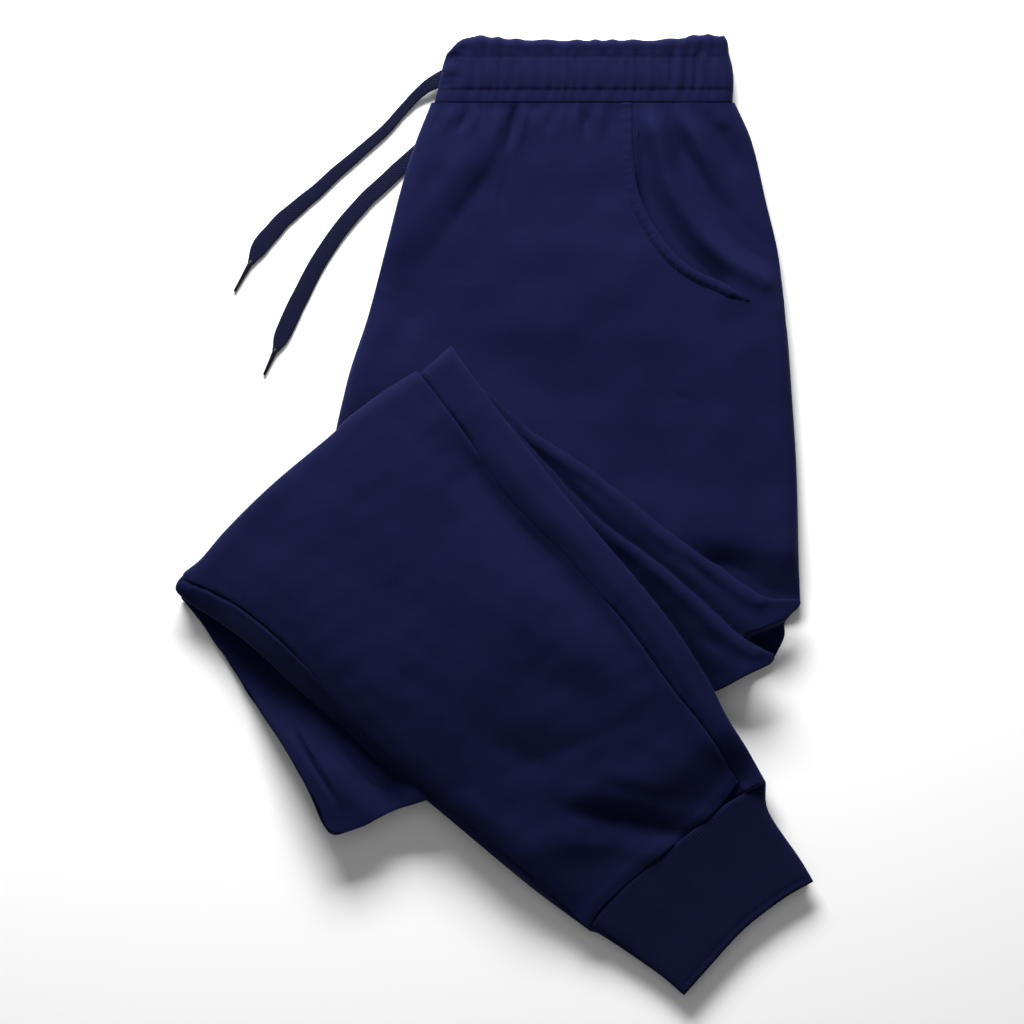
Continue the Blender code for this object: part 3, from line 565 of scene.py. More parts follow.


# %% [markdown]
# ## Creases
#
# Cloth creases are never even, so each one is given on its own: a short smooth line, how far the crease
# reaches to either side, and how deep it is at its middle. It fades out at the ends that are marked, and the
# cloth beside it stands up a little, as the cloth that was pushed out of the crease has to go somewhere.

# %% Crease helpers
def along_line(x, y, table, steps=10):
    """Signed distance from a table's curve, and the share of its length at the nearest place."""
    line = dense(table, steps)
    best, side, share = np.full(np.shape(x), 1e9), np.ones(np.shape(x)), np.zeros(np.shape(x))
    lengths = np.linalg.norm(np.diff(line, axis=0), axis=1)
    run = np.concatenate([[0], np.cumsum(lengths)]) / lengths.sum()
    for k in range(len(line) - 1):
        (ax, ay), (bx, by) = line[k], line[k + 1]
        dx, dy = bx - ax, by - ay
        t = np.clip(((x - ax) * dx + (y - ay) * dy) / max(dx * dx + dy * dy, 1e-9), 0, 1)
        away = np.hypot(x - ax - t * dx, y - ay - t * dy)
        nearer = away < best
        best = np.where(nearer, away, best)
        side = np.where(nearer, np.sign((x - ax) * dy - (y - ay) * dx), side)
        share = np.where(nearer, run[k] + t * (run[k + 1] - run[k]), share)
    return best * np.where(side == 0, 1, side), share


def distance_to(x, y, table):
    """Distance from a table's curve."""
    return np.abs(along_line(x, y, table)[0])


def creased(x, y, rows):
    """How far a table's creases move the cloth; each has a soft section, with the cloth raised beside it."""
    moved = np.zeros(np.shape(x))
    for path, right_width, left_width, depth, marks in rows:
        away, share = along_line(x, y, path, steps=6)
        reach = np.abs(away) / np.where(away > 0, right_width, left_width)
        strength = ramp(share, 0, 0.45) if "s" in marks else 1.0
        if "e" in marks:
            strength = strength * ramp(share, 1, 0.45)
        soft = np.exp(-1.7 * reach**2) - 0.28 * np.exp(-((reach - 1.9) ** 2) * 2.2)
        moved -= depth * strength * soft
    return moved


def uneven(x, y, size, seed):
    """Gentle unevenness of cloth: a few long waves that cross, from -1 to 1."""
    turns = np.random.default_rng(seed).uniform(0, 2 * math.pi, (6, 2))
    total = np.zeros(np.shape(x))
    for way, phase in turns:
        wave = 2 * math.pi / (size * (0.7 + 0.1 * phase))
        total += np.sin((x * math.cos(way) + y * math.sin(way)) * wave + phase * 3)
    return total / 3.4


# %% [markdown]
# ## The cut pieces, seen from above
#
# These tables are the folded garment's edges, in millimetres: the folded seat, the waistband, the knee part
# that is folded back up, and the lower legs that come down again over it.

# %% Edges of the pieces
WAIST_TOP = (
    (-31, 299), (-24, 306), (-14, 310.5), (-2, 310), (14, 308.5), (40, 307.8), (75, 308), (105, 308),
    (122, 309.5), (134, 311.5), (149, 310.5),
)
WAIST_LEFT = ((-31, 299), (-33.6, 291), (-35.4, 282), (-37, 275), (-39, 267.3))
WAIST_RIGHT = ((149, 310.5), (151.4, 306), (152.2, 299), (154.4, 290), (155.2, 281), (154.4, 267.3))
BAND_SEAM = ((-39, 267.3), (58, 267.3), (154.4, 267.3))
SEAT_SEAM = ((-41, 267), (58, 267), (156, 267))
PANEL_SEAM = ((-41, 267.1), (24, 267.1), (89, 267.1))
FACING_SEAM = ((80, 267.1), (156, 267.1))

CENTRE_FRONT = ((-41, 267), (-51, 242), (-60, 214), (-70, 175), (-82, 129), (-95, 89), (-103, 56))
HIDDEN_INSEAM = ((-107, 29), (-110, -30), (-110, -108), (-104, -160), (-93, -184))
SIDE_SEAM = (
    (156, 267), (167, 242), (176, 204), (185.5, 161), (190.5, 113), (196, 30), (197.5, -30), (198.7, -56),
)
SEAT_END = ((-93, -184), (-48, -168), (43, -133), (134, -98), (198.7, -56))
PANEL_LEFT = CENTRE_FRONT[:-1] + ((-103, 50),)
PANEL_SIDE = ((188.6, 129), (189.3, 123), (190.5, 113), (193.4, 72), (196, 30), (197.5, -30), (198.4, -56))
PANEL_END = (
    (-103, 50), (-78, 62), (-50, 78), (-22, 86), (6, 52), (64, 4), (130, -42), (168, -58), (187, -60),
    (198.4, -56),
)
POCKET_OPENING = (
    (89, 267), (89, 243), (91, 219), (95, 203), (104, 185), (117, 168), (132, 157), (148, 150),
    (164, 140), (176, 135.6), (187.5, 132),
)
FACING_LEFT = (
    (80, 267), (80, 243), (82, 216), (86, 199), (96, 180), (110, 163), (127, 149), (144, 142),
    (158, 140.5),
)
FACING_END = ((158, 140.5), (164, 139.5), (176, 135.2), (187.9, 131.6))
FACING_SIDE = ((156, 267), (167, 242), (176, 204), (184.3, 168), (187.9, 131.6))

BOTTOM_CREASE = (
    (-94, -205), (-84, -201.5), (-74, -196.3), (-62, -190.5), (-50, -187), (-20, -177), (50, -150),
    (120, -124), (146, -113),
)
LEFT_INSEAM = (
    (-204, -54), (-191, -70), (-173.5, -95), (-155, -124), (-131, -161), (-118, -185), (-111, -200.5),
    (-107, -206.5),
)
LEFT_START = ((-204, -54), (-178, -44), (-150, -24), (-122, 0), (-86, 31), (-50, 60), (-16, 82))
LEFT_CREASE = ((-107, -206.5), (-102, -207.8)) + BOTTOM_CREASE + ((180, -95.5),)
LEFT_OUTSEAM = (
    (-16, 82), (-4, 79), (22, 56), (58, 32), (91, 7), (121, -17), (159, -43), (170.5, -50.5),
    (180, -54.5), (190, -55), (198, -55.5), (197, -60), (191.5, -66), (188, -71), (188, -78),
    (185.4, -87), (180, -95.5),
)
RIGHT_INSEAM = (
    (-204.5, -52), (-190, -70), (-171.5, -96), (-153, -125), (-129, -162), (-116, -185), (-109.6, -199.6),
    (-105.8, -205),
)
RIGHT_START = ((-204.5, -52), (-178, -42), (-150, -25), (-120, -5), (-84, 26), (-50, 54), (-22, 72))
RIGHT_CREASE = ((-105.8, -205), (-101.4, -206.2)) + BOTTOM_CREASE + ((178.5, -96.5),)
RIGHT_OUTSEAM = (
    (-22, 72), (-6, 70), (10, 58), (36, 30), (67, -2), (102, -28), (136, -57), (158, -77.5), (168.5, -84),
    (176.5, -88.5), (181, -90.5), (181.6, -93), (178.5, -96.5),
)

BAND_CREASE = (
    (-206.6, -46.8), (-205, -43), (-200.8, -38.6), (-190, -31), (-164, -11), (-134, 10), (-97, 41),
    (-66, 72), (-46, 93), (-28, 109),
)
OUTSEAM_EDGE = (
    (-28, 109), (-9, 82), (17, 48), (43, 15), (60, -5), (88, -38), (113, -69), (137, -106), (150, -131),
    (162, -150), (175, -173),
)
LOWER_EDGE = (
    (-206.6, -46.8), (-206, -50), (-202, -54), (-193, -60.5), (-178, -70), (-157, -85.5), (-126, -114),
    (-98, -138), (-68, -166), (-41, -187.5), (-7, -216), (26, -243.5), (61, -269.5),
)
BACK_CUFF_SEAM = ((61, -269.5), (70, -254.7), (96, -229.7), (123, -208.7), (151, -186.7), (176, -173.6))
KNEE_CREASE = (
    (-202.2, -42), (-200.8, -37.4), (-190, -28.6), (-173, -9), (-143, 20), (-106, 51), (-95, 62),
    (-71, 80), (-50, 93),
)
OUTSEAM = ((-50, 93), (-24, 59), (10, 11), (50, -30), (87, -74), (113, -110), (139, -143), (158, -174))
INSEAM = (
    (-202.2, -42), (-178.5, -51.5), (-158, -64), (-134, -84.5), (-113, -108), (-91.5, -133.5),
    (-63, -161.5), (-36.5, -183), (-3, -211), (29.5, -239), (61, -269),
)
FRONT_CUFF_SEAM = ((61, -269), (70, -254.6), (96.4, -230.4), (123.4, -209.4), (144.5, -192), (158, -174))

CUFF_INNER = ((61, -270), (71, -274), (105, -297), (123, -312))
CUFF_OUTER = ((176, -174), (178, -193), (198, -223), (207, -238))
CUFF_TOP = ((61, -270), (70, -255), (96, -230), (123, -209), (151, -187), (176, -174))
CUFF_HEM = ((123, -312), (138, -295), (162, -269), (188, -249), (207, -238))

# %% [markdown]
# ## Laying a piece
#
# A single ply is an open sheet with a Solidify modifier for its thickness. A flattened leg is a closed slab
# of two nets that meet at its rim. The lower layers of the seat and the waist are one closed solid, whose
# rim swells and pinches once for each ply, so that the stack can be counted from the side.

# %% Helpers for plies, slabs and stacks
ROLL = ((0.0, 0.0), (0.4, 0.26), (1.1, 0.45), (2.2, 0.63), (3.8, 0.80), (6.2, 0.93), (9.5, 1.0))
PLY_RIM = ((0.0, 0.15), (0.5, 0.60), (1.4, 0.90), (3.5, 1.0))
SLAB_RIM = ((0.9, 0.0), (0.2, 0.22), (0.0, 0.42), (0.5, 0.66), (1.8, 0.86), (4.0, 0.96), (7.0, 1.0))


def as_points(x, y, z):
    """One row for each point of a net."""
    return np.stack([x, y, z], axis=-1).reshape(-1, 3)


def roll_at(x, y, edge):
    """How far the cloth has risen from an edge, as a share of its height."""
    return look_up(distance_to(x, y, edge), ROLL)


def rolled(level, middle, share):
    """A level that falls to the middle of a rolled edge where the share is 0."""
    return middle + (level - middle) * share


def lifts(section, ring):
    """The share of its height that each point of a net has, by its row of the edge table."""
    return np.array([row[1] for row in section])[ring]


def thicken(item, thickness):
    """Gives a sheet its thickness, inwards from its outer face."""
    shell = item.modifiers.new("thickness", "SOLIDIFY")
    shell.thickness = thickness * MM
    shell.offset = -1


def lay_ply(name, node, x, y, z, thickness, material):
    """One ply of cloth, its outer face where the net lies."""
    item = add_piece(name, as_points(x, y, z), quads(*x.shape), material)
    if item.data.polygons[len(item.data.polygons) // 2].normal.z < 0:
        item.data.flip_normals()
    thicken(item, thickness)
    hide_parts(node)
    return item


def rim_of(rows, columns):
    """The points round a net's border, in order."""
    bottom = list(range(columns))
    right = [j * columns + columns - 1 for j in range(1, rows)]
    top = [(rows - 1) * columns + i for i in range(columns - 2, -1, -1)]
    left = [j * columns for j in range(rows - 2, 0, -1)]
    return bottom + right + top + left


def lay_slab(name, node, x, y, low, high, share, material):
    """Two plies and the air in them, as one closed form; share is how far it is open near its rim."""
    middle = (low + high) / 2
    low, high = rolled(low, middle, share), rolled(high, middle, share)
    rows, columns = x.shape
    count = rows * columns
    rim = rim_of(rows, columns)
    faces = quads(rows, columns) + [face[::-1] for face in quads(rows, columns, count)]
    faces += [(rim[i], rim[i - 1], rim[i - 1] + count, rim[i] + count) for i in range(len(rim))]
    points = np.vstack([as_points(x, y, high), as_points(x, y, low)])
    item = add_piece(name, points, faces, material)
    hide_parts(node)
    return item


def lay_stack(name, node, section, cell, curves, size, edges, material, recess):
    """The lower layers: a rim with one swelling for each ply, under a level top, with a recess for a cord."""
    net = edge_net(*size, section, cell, edges)
    x, y = plan_of(net, *curves)
    z = lifts(section, net.ring)
    at_x, at_y, reach, depth, low, high = recess
    near = smooth(1.5 - np.hypot(x - at_x, y - at_y) / reach) * smooth(z - low) * smooth(high - z)
    x = x + depth * near
    rows, columns = x.shape
    faces = quads(rows, columns) + [tuple(rim_of(rows, columns)[::-1])]
    item = add_piece(name, as_points(x, y, z), faces, material)
    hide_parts(node)
    return item


pieces = {}

# %% [markdown]
# ## Seat and thigh
#
# The left front panel is one cut of fleece from the waistband to the thigh. The waistband's elastic draws it
# in, which makes the pleats that fan out below the seam, and at both sides it rolls over the fold to the
# layers below. The rest of the cloth is nearly flat, with long shallow hollows where it lies on other folds.

# %% Left front panel
SEAT_MIDDLE = 7.0
SEAM_HEIGHT = 13.6
PANEL_HEIGHT = 14.5
CORNER_FALL = 6.3
# Lowest level of the outer ply, where it lies on the layers below
LOWEST = 8.6
SEAT_CREASES = (
    # line, reach to its right and left, depth (below 0 is a ridge), marks: fades at its start (s) or end (e)
    (((-17, 268), (-19, 257), (-26, 245)), 4.5, 3.5, 2.4, "e"),
    (((13.4, 271), (12.8, 260), (11.5, 250), (9, 240), (5, 231)), 5.0, 3.5, 4.2, "e"),
    (((12.6, 262), (11, 250), (7.5, 238), (0, 224), (-10, 208), (-22, 192), (-37, 172), (-57, 148)),
     11.0, 60.0, 5.6, "se"),
    (((6, 222), (5, 208), (4, 188)), 3.0, 3.0, 1.0, "se"),
    (((58, 271), (59, 256), (60, 240)), 3.2, 5.0, 3.0, "e"),
    (((37, 270), (36, 258), (33, 244)), 4.0, 4.0, 1.0, "e"),
    (((-33, 268), (-37, 256), (-43, 245)), 3.5, 3.5, 1.3, "e"),
    (((75, 270), (76, 257), (76, 243)), 3.5, 3.5, 1.1, "e"),
    (((116, 78), (121, 76), (127, 75)), 2.4, 2.4, 0.8, "se"),
    (((-60, 140), (-16, 112), (30, 84), (70, 50), (110, 16), (144, -10)), 30.0, 46.0, 5.0, "e"),
    (((30, 176), (36, 150), (30, 120)), 30.0, 22.0, 1.6, "se"),
    (((104, 128), (110, 90), (122, 45)), 14.0, 22.0, 1.5, "se"),
    (((-42, 156), (-58, 122), (-66, 90)), 12.0, 14.0, 1.5, "se"),
    (((150, 108), (156, 70), (160, 30)), 16.0, 12.0, -1.0, "se"),
    (((112, 0), (136, -12), (160, -19), (182, -22), (197, -22)), 15.0, 24.0, -2.4, "s"),
)


def seam_gathers(x, y):
    """Small gathers where the seat is sewn to the elastic waistband."""
    ripple = np.sin(x / 1.55 + 2.2 * np.sin(x / 9.0)) + 0.6 * np.sin(x / 2.7 + 1.0)
    return 0.3 * ripple * ramp(y, 250, 264)


def to_seam(level, y, height):
    """Brings the cloth to the seam's height over its last 9 mm."""
    return level + (height - level) * ramp(y, 258, 267)


def panel_level(x, y):
    """The front panel's upper side; near the seam its unevenness gives way to the gathers."""
    at_seam = ramp(y, 268, 261)
    level = to_seam(PANEL_HEIGHT - 0.5 * ramp(x, 120, 180), y, SEAM_HEIGHT)
    level += creased(x, y, SEAT_CREASES) * ramp(y, 267.5, 254.5) + seam_gathers(x, y) * at_seam
    level += (1.0 * uneven(x, y, 74, 3) + 0.35 * uneven(x, y, 31, 8)) * at_seam
    # Towards the folded legs' corner the cloth slopes down to the ridge
    above_ridge = np.maximum(-along_line(x, y, LEFT_OUTSEAM[5:11])[0], 0)
    reach = 22 + 12 * ramp(x, 148, 174)
    slope = np.clip(1 - above_ridge / reach, 0, 1) ** 1.8
    level -= CORNER_FALL * slope * ramp(x, 118, 154) * ramp(y, -120, -80)
    return np.maximum(level, LOWEST)


def make_front_panel():
    net = edge_net(230, 300, ROLL, 1.7, edges=(1, 1, 0.3, 0.3))
    x, y = plan_of(net, PANEL_LEFT, POCKET_OPENING + PANEL_SIDE, PANEL_SEAM, PANEL_END)
    roll = np.minimum(roll_at(x, y, CENTRE_FRONT + HIDDEN_INSEAM), roll_at(x, y, SIDE_SEAM))
    z = rolled(panel_level(x, y), SEAT_MIDDLE, roll)
    return lay_ply("left_front_panel", "front_panel", x, y, z, 1.5, fleece["seat"])


pieces["front"] = make_front_panel()
print("left front panel:", len(pieces["front"].data.polygons), "faces")

# %% [markdown]
# ## Pocket
#
# The opening is a curved cut from the waist seam to the side seam. The facing behind it belongs to the
# pocket bag and lies one ply lower. The opening's edge is turned under and sewn down 5 mm in, which leaves a
# raised rib with a crisp outer edge. A bar of tight stitches secures its upper end.

# %% Pocket facing and hem
POCKET_CREASES = (
    (((102, 262), (107, 240), (112, 219), (122, 199), (137, 178), (156, 161), (174, 149)),
     10.0, 10.0, -8.0, ""),
    (((119, 272), (123, 258), (132, 239), (144, 215), (155, 197)), 7.5, 9.0, -6.8, "e"),
    (((143, 272), (145, 262), (150, 246)), 5.5, 8.0, -3.6, "e"),
    (((103, 271), (102, 260), (101, 250)), 2.6, 3.2, 1.4, "e"),
)
# The turned hem in section, from the opening's edge inwards
HEM_SECTION = (
    (-0.1, -0.9), (-0.35, 0.0), (0.0, 0.9), (0.7, 1.5), (2.0, 1.9), (3.6, 1.75), (4.9, 1.3), (5.6, 0.55),
    (6.1, 0.50), (6.6, 0.1), (6.8, -0.4),
)
HEM_COUNT = 170
# Share of the opening's length where the hem runs out
HEM_END = 0.875
FACING_HEIGHT = 9.6
FACING_RISE = 3.4
# How far the facing dips under the panel beyond the opening
TUCK = 1.6


def make_facing():
    net = edge_net(70, 140, ROLL, 1.6, edges=(0.3, 1, 0.3, 0.3))
    x, y = plan_of(net, FACING_LEFT, FACING_SIDE, FACING_SEAM, FACING_END)
    level = to_seam(FACING_HEIGHT + FACING_RISE * ramp(y, 222, 260), y, SEAM_HEIGHT)
    level += seam_gathers(x, y) * ramp(y, 268, 261)
    level += creased(x, y, POCKET_CREASES) * ramp(y, 268, 246) + 0.2 * uneven(x, y, 24, 5)
    level = np.maximum(level, LOWEST)
    # It is sewn level with the panel at the opening's lower end, and lies close under its upper end
    shut = ramp(x, 138, 162) * ramp(distance_to(x, y, FACING_END), 30, 0)
    close = 0.9 * ramp(y, 200, 230) * ramp(distance_to(x, y, POCKET_OPENING), 9, 0)
    level += (panel_level(x, y) - 0.1 - level) * np.maximum(shut, close)
    level -= TUCK * ramp(along_line(x, y, POCKET_OPENING)[0], 0.8, 2.8)
    z = rolled(level, SEAT_MIDDLE, roll_at(x, y, SIDE_SEAM))
    return lay_ply("pocket_facing_cloth", "pocket_facing", x, y, z, 1.2, fleece["pocket"])


def opening_frame(fractions):
    """Places along the pocket opening, and the way inwards over the panel."""
    places = on_curve(POCKET_OPENING, fractions * HEM_END)
    way = np.gradient(places, axis=0)
    inwards = np.stack([way[:, 1], -way[:, 0]], axis=1)
    return places, inwards / np.linalg.norm(inwards, axis=1)[:, None]


def make_hem():
    """The turned hem; it is flatter at the upper part of the opening, and narrows at its lower end."""
    away, up = np.array(HEM_SECTION).T
    run = np.linspace(0, 1, HEM_COUNT)
    places, inwards = opening_frame(run)
    narrowed = 1 - 0.7 * ramp(run, 0.9, 1)
    x, y = (places[:, k:k + 1] + inwards[:, k:k + 1] * away * narrowed[:, None] for k in (0, 1))
    count = np.arange(HEM_COUNT)
    pucker = 0.10 * np.sin(count * 1.1 + 2 * np.sin(count / 7)) * ramp(away, 0, 2)[:, None]
    up = up * ((0.4 + 0.6 * ramp(run, 0.3, 0.55)) * ramp(run, 1, 0.91))[:, None]
    z = rolled(panel_level(x, y), SEAT_MIDDLE, roll_at(x, y, SIDE_SEAM)) + up + pucker.T + 0.1
    return lay_ply("pocket_hem_rib", "pocket_hem", x, y, z, 0.6, fleece["pocket"])


pieces["facing"] = make_facing()
pieces["hem"] = make_hem()
print("pocket opening:", round(length_of(POCKET_OPENING)), "mm long")

# %% [markdown]
# ## Waistband
#
# The waistband is a casing of the same fleece with a wide elastic inside. Rows of stitches divide it into a
# top roll, a broad middle that bulges, and a narrow flat strip over the seam. The elastic is shorter than the
# cloth, so the cloth stands in small uneven gathers. Each channel is an arch between its two edges: the broad
# one is fullest near the seam, and the roll near the top.

# %% Waistband
BAND_MIDDLE = 8.4
STITCH_ROWS = (275.2, 296.8)
CHANNELS = (
    # from y, to y, height of its arch, how far the arch leans: below 1 to the seam, above 1 to the top
    (267.3, STITCH_ROWS[0], 0.15, 1.0),
    (*STITCH_ROWS, 1.6, 0.65),
    (STITCH_ROWS[1], 311.8, 1.3, 1.5),
)
BAND_WRINKLES = (
    # x, y of its middle, half width, half length, depth
    (-24, 287, 2.6, 8, 1.2), (-12, 286, 2.2, 9, 0.8), (3.5, 287, 1.9, 10, 1.1), (13, 286, 1.7, 10, 0.9),
    (28, 288, 2.6, 9, 0.5), (40, 285, 2.0, 8, 0.4), (52, 287, 2.2, 10, 0.8), (64, 288, 2.4, 9, 0.5),
    (76, 287, 1.9, 10, 0.9), (86, 286, 2.2, 9, 0.5), (95, 286, 2.0, 10, 0.7), (109, 287, 1.8, 11, 0.9),
    (115, 287, 1.5, 11, 1.7), (124.5, 286, 1.4, 10, 1.6), (131, 288, 1.8, 11, 1.9), (139, 287, 1.6, 11, 1.2),
    (147, 286, 2.0, 10, 1.0),
    (-29, 295.5, 3.0, 3.5, 2.6), (-32, 281, 5.0, 4.5, 1.8),
    (-18, 304, 2.4, 5, 1.3), (-5, 305, 1.8, 5, 0.9), (6, 305, 1.5, 5, 0.6), (17, 304, 2.2, 5, 0.7),
    (29, 305, 1.6, 5, 0.5), (40, 305, 2.0, 5, 0.8), (51, 304, 1.6, 5, 0.6), (62, 304, 2.2, 5, 0.8),
    (75, 305, 1.6, 5, 0.6), (86, 305, 2.2, 5, 0.9), (97, 305, 1.6, 5, 0.7), (105, 305, 1.8, 5, 1.1),
    (118, 304, 1.8, 5, 1.5), (127, 305, 1.6, 5, 1.2), (135, 304, 1.7, 6, 1.9), (143, 305, 1.8, 5, 1.3),
)


def gathers(x, y):
    """Uneven upright ripples, stronger next to the stitch rows."""
    ripple = np.sin(x / 1.15 + 2.4 * np.sin(x / 7.3) + 0.9 * np.sin(y / 6.0))
    ripple += 0.7 * np.sin(x / 2.3 + 1.7 * np.sin(x / 13.0) + 1.0)
    near_row = np.zeros(np.shape(x))
    for row in STITCH_ROWS:
        near_row = np.maximum(near_row, bump_at(y, row, 4.0))
    moved = ripple * (0.13 + 0.24 * near_row)
    for wx, wy, half_width, half_length, depth in BAND_WRINKLES:
        moved -= depth * np.exp(-((x - wx) / (1.4 * half_width)) ** 2 - ((y - wy) / half_length) ** 4)
    return moved


def make_waistband():
    net = edge_net(188, 42, ROLL, 1.0, edges=(1, 1, 0.45, 0))
    x, y = plan_of(net, WAIST_LEFT, WAIST_RIGHT, WAIST_TOP, BAND_SEAM)
    y = y + 0.55 * np.sin(x / 2.4 + 1.9 * np.sin(x / 11.0)) * ramp(y, 299, 307)
    stand = np.zeros(x.shape)
    for low, high, height, lean in CHANNELS:
        share = np.clip((y - low) / (high - low), 0, 1)
        stand = np.maximum(stand, height * np.sin(math.pi * share ** lean))
    for row in STITCH_ROWS:
        stand -= 0.22 * bump_at(y, row, 0.9)
    rows, columns = x.shape
    from_side = np.minimum(np.arange(columns), np.arange(columns)[::-1])
    ring = np.minimum(np.minimum(from_side[None, :], np.arange(rows)[:, None]), len(ROLL) - 1)
    level = SEAM_HEIGHT + 0.2 + stand + gathers(x, y) * ramp(y, 267, 272)
    z = rolled(level, BAND_MIDDLE, lifts(ROLL, ring))
    return lay_ply("waistband_cloth", "waistband", x, y, z, 1.6, fleece["band"])


pieces["waistband"] = make_waistband()
print("waistband:", len(pieces["waistband"].data.polygons), "faces")

# %% [markdown]
# ## Lower layers
#
# Under the front panel lie three more plies of the seat, and under the waistband three more casings. Only
# their edges show, stacked at the sides.

# %% Lower layers of seat and waist
SEAT_STACK = (
    (3.2, 0.0), (1.0, 0.4), (0.2, 1.2), (0.6, 2.0), (2.2, 2.35), (0.9, 2.8), (0.3, 3.6), (0.9, 4.4),
    (2.4, 4.75), (1.4, 5.2), (1.0, 5.9), (1.8, 6.6), (4.0, 6.9), (9.0, 7.0),
)
WAIST_STACK = (
    (3.0, 0.0), (0.9, 0.5), (0.1, 1.5), (0.8, 2.6), (2.4, 3.0), (0.8, 3.5), (0.1, 4.6), (0.8, 5.6),
    (2.4, 6.0), (1.3, 6.5), (1.0, 7.3), (2.0, 8.0), (6.0, 8.4), (9.0, 8.5),
)
# Where each cord comes out: x, y, reach, depth, and the heights between which it lies
LOWER_CORD_EXIT = (-54, 231, 16, 3.4, -1.0, 3.4)
UPPER_CORD_EXIT = (-36, 282, 9, 3.4, 3.6, 8.0)
seat_curves = (CENTRE_FRONT + HIDDEN_INSEAM, SIDE_SEAM, SEAT_SEAM, SEAT_END)
pieces["seat_layers"] = lay_stack(
    "seat_lower_layers", "seat_layers", SEAT_STACK, 6.0, seat_curves, (280, 400), (1, 1, 0.05, 1),
    fleece["seat"], LOWER_CORD_EXIT)
waist_curves = (WAIST_LEFT, WAIST_RIGHT, WAIST_TOP, BAND_SEAM)
pieces["waist_layers"] = lay_stack(
    "waist_lower_layers", "waist_layers", WAIST_STACK, 4.0, waist_curves, (188, 42), (1, 1, 1, 0.05),
    fleece["band"], UPPER_CORD_EXIT)
print("stacks laid")

# %% [markdown]
# ## Knee part, folded back up
#
# The left leg lies below and the right leg on it. Their outseam sides show as two rolled ridges beside the
# lower leg, and their inseam side shows at the lower left.

# %% Folded legs
FOLD_CREASES = {
    "fold_left": (
        (((40, 38), (66, 16), (96, -8)), 3.0, 5.0, 0.9, "se"),
        (((112, -16), (134, -38), (152, -56)), 4.0, 5.0, 1.5, "se"),
    ),
    "fold_right": (
        (((-134, -132), (-120, -157), (-108, -176), (-99, -195)), 2.2, 1.9, 4.0, "se"),
        (((-112, -150), (-96, -172), (-80, -190)), 9.0, 9.0, -1.2, "se"),
        (((82, -2), (88, -12), (96, -22)), 4.0, 4.0, 1.8, "se"),
        (((128, -70), (142, -84), (156, -96)), 5.0, 6.0, 1.2, "se"),
    ),
}


def crest_beside(x, y, edge, crest):
    """A rolled crest just inside an edge."""
    return crest * bump_at(distance_to(x, y, edge), 5.5, 4.5)


def hollow_beside(x, y, edge, depth, reach):
    """A hollow that is deepest at the edge of the piece on top, which presses the cloth down."""
    return -depth * np.clip(1 - distance_to(x, y, edge) / reach, 0, 1) ** 2


PRESS_REACH = 110


def pressed(x, y):
    """How much the pile is pressed together towards its lower crease: 1 at the crease, 0 well inside it."""
    past = along_line(x, y, BOTTOM_CREASE)[0]
    return np.clip(1 + past / PRESS_REACH, 0, 1) ** 1.6


def left_fold_relief(x, y):
    """Its outseam ridge runs out to the seat's corner, above the hole in the crease's loop."""
    relief = crest_beside(x, y, LEFT_OUTSEAM[:8], 1.7) + hollow_beside(x, y, RIGHT_OUTSEAM[:9], 3.4, 13)
    relief += hollow_beside(x, y, OUTSEAM_EDGE, 2.0 + 1.5 * ramp(x, 50, 110), 25)
    relief -= 4.0 * ramp(x, 178, 200) + 3.0 * pressed(x, y)
    into_hole = (x - 166) * 0.367 - (y + 76.0) * 0.93
    return relief - 11.0 * ramp(into_hole, 0, 4) * ramp(x, 161, 168)


def right_fold_relief(x, y):
    """Its outseam ridge has a deep hollow behind it, where the lower leg presses it down."""
    relief = crest_beside(x, y, RIGHT_OUTSEAM[:9], 1.6)
    relief += hollow_beside(x, y, OUTSEAM_EDGE, 6.0 + 4.0 * ramp(x, 50, 110), 25) - 5.2 * pressed(x, y)
    under_leg = np.maximum(ramp(distance_to(x, y, LOWER_EDGE), 32, 8), ramp(y, -135, -100))
    return relief - 7.0 * under_leg * ramp(x, -50, -70)


def make_fold(node, inseam, outseam, start, crease, seed, relief):
    """One flattened leg between thigh and knee, on its solid's form, with its creases and relief."""
    net = edge_net(290, 300, SLAB_RIM, 1.9)
    x, y = plan_of(net, inseam, outseam, start, crease)
    x, y = x + 0.5 * uneven(x, y, 24, seed + 5), y + 0.5 * uneven(x, y, 24, seed + 6)
    low, high = read(lower[node], x, y), read(upper[node], x, y)
    high = high + creased(x, y, FOLD_CREASES[node]) + relief(x, y)
    high += 0.35 * uneven(x, y, 48, seed) + 0.12 * uneven(x, y, 17, seed + 1)
    low = np.minimum(low, high - 1.8)
    return lay_slab(node + "_leg", node, x, y, low, high, lifts(SLAB_RIM, net.ring), fleece["fold"])


pieces["fold_left"] = make_fold(
    "fold_left", LEFT_INSEAM, LEFT_OUTSEAM, LEFT_START, LEFT_CREASE, 11, left_fold_relief)
pieces["fold_right"] = make_fold(
    "fold_right", RIGHT_INSEAM, RIGHT_OUTSEAM, RIGHT_START, RIGHT_CREASE, 14, right_fold_relief)
print("folded legs laid")

# %% [markdown]
# ## Lower legs
#
# The left back panel, with the whole right leg under it, comes down over the pile. The left front panel lies
# on it, between the outseam and the inseam, with some air under it. Above the cuff the cloth is fuller than
# the cuff is wide, so it sinks in one deep fold.

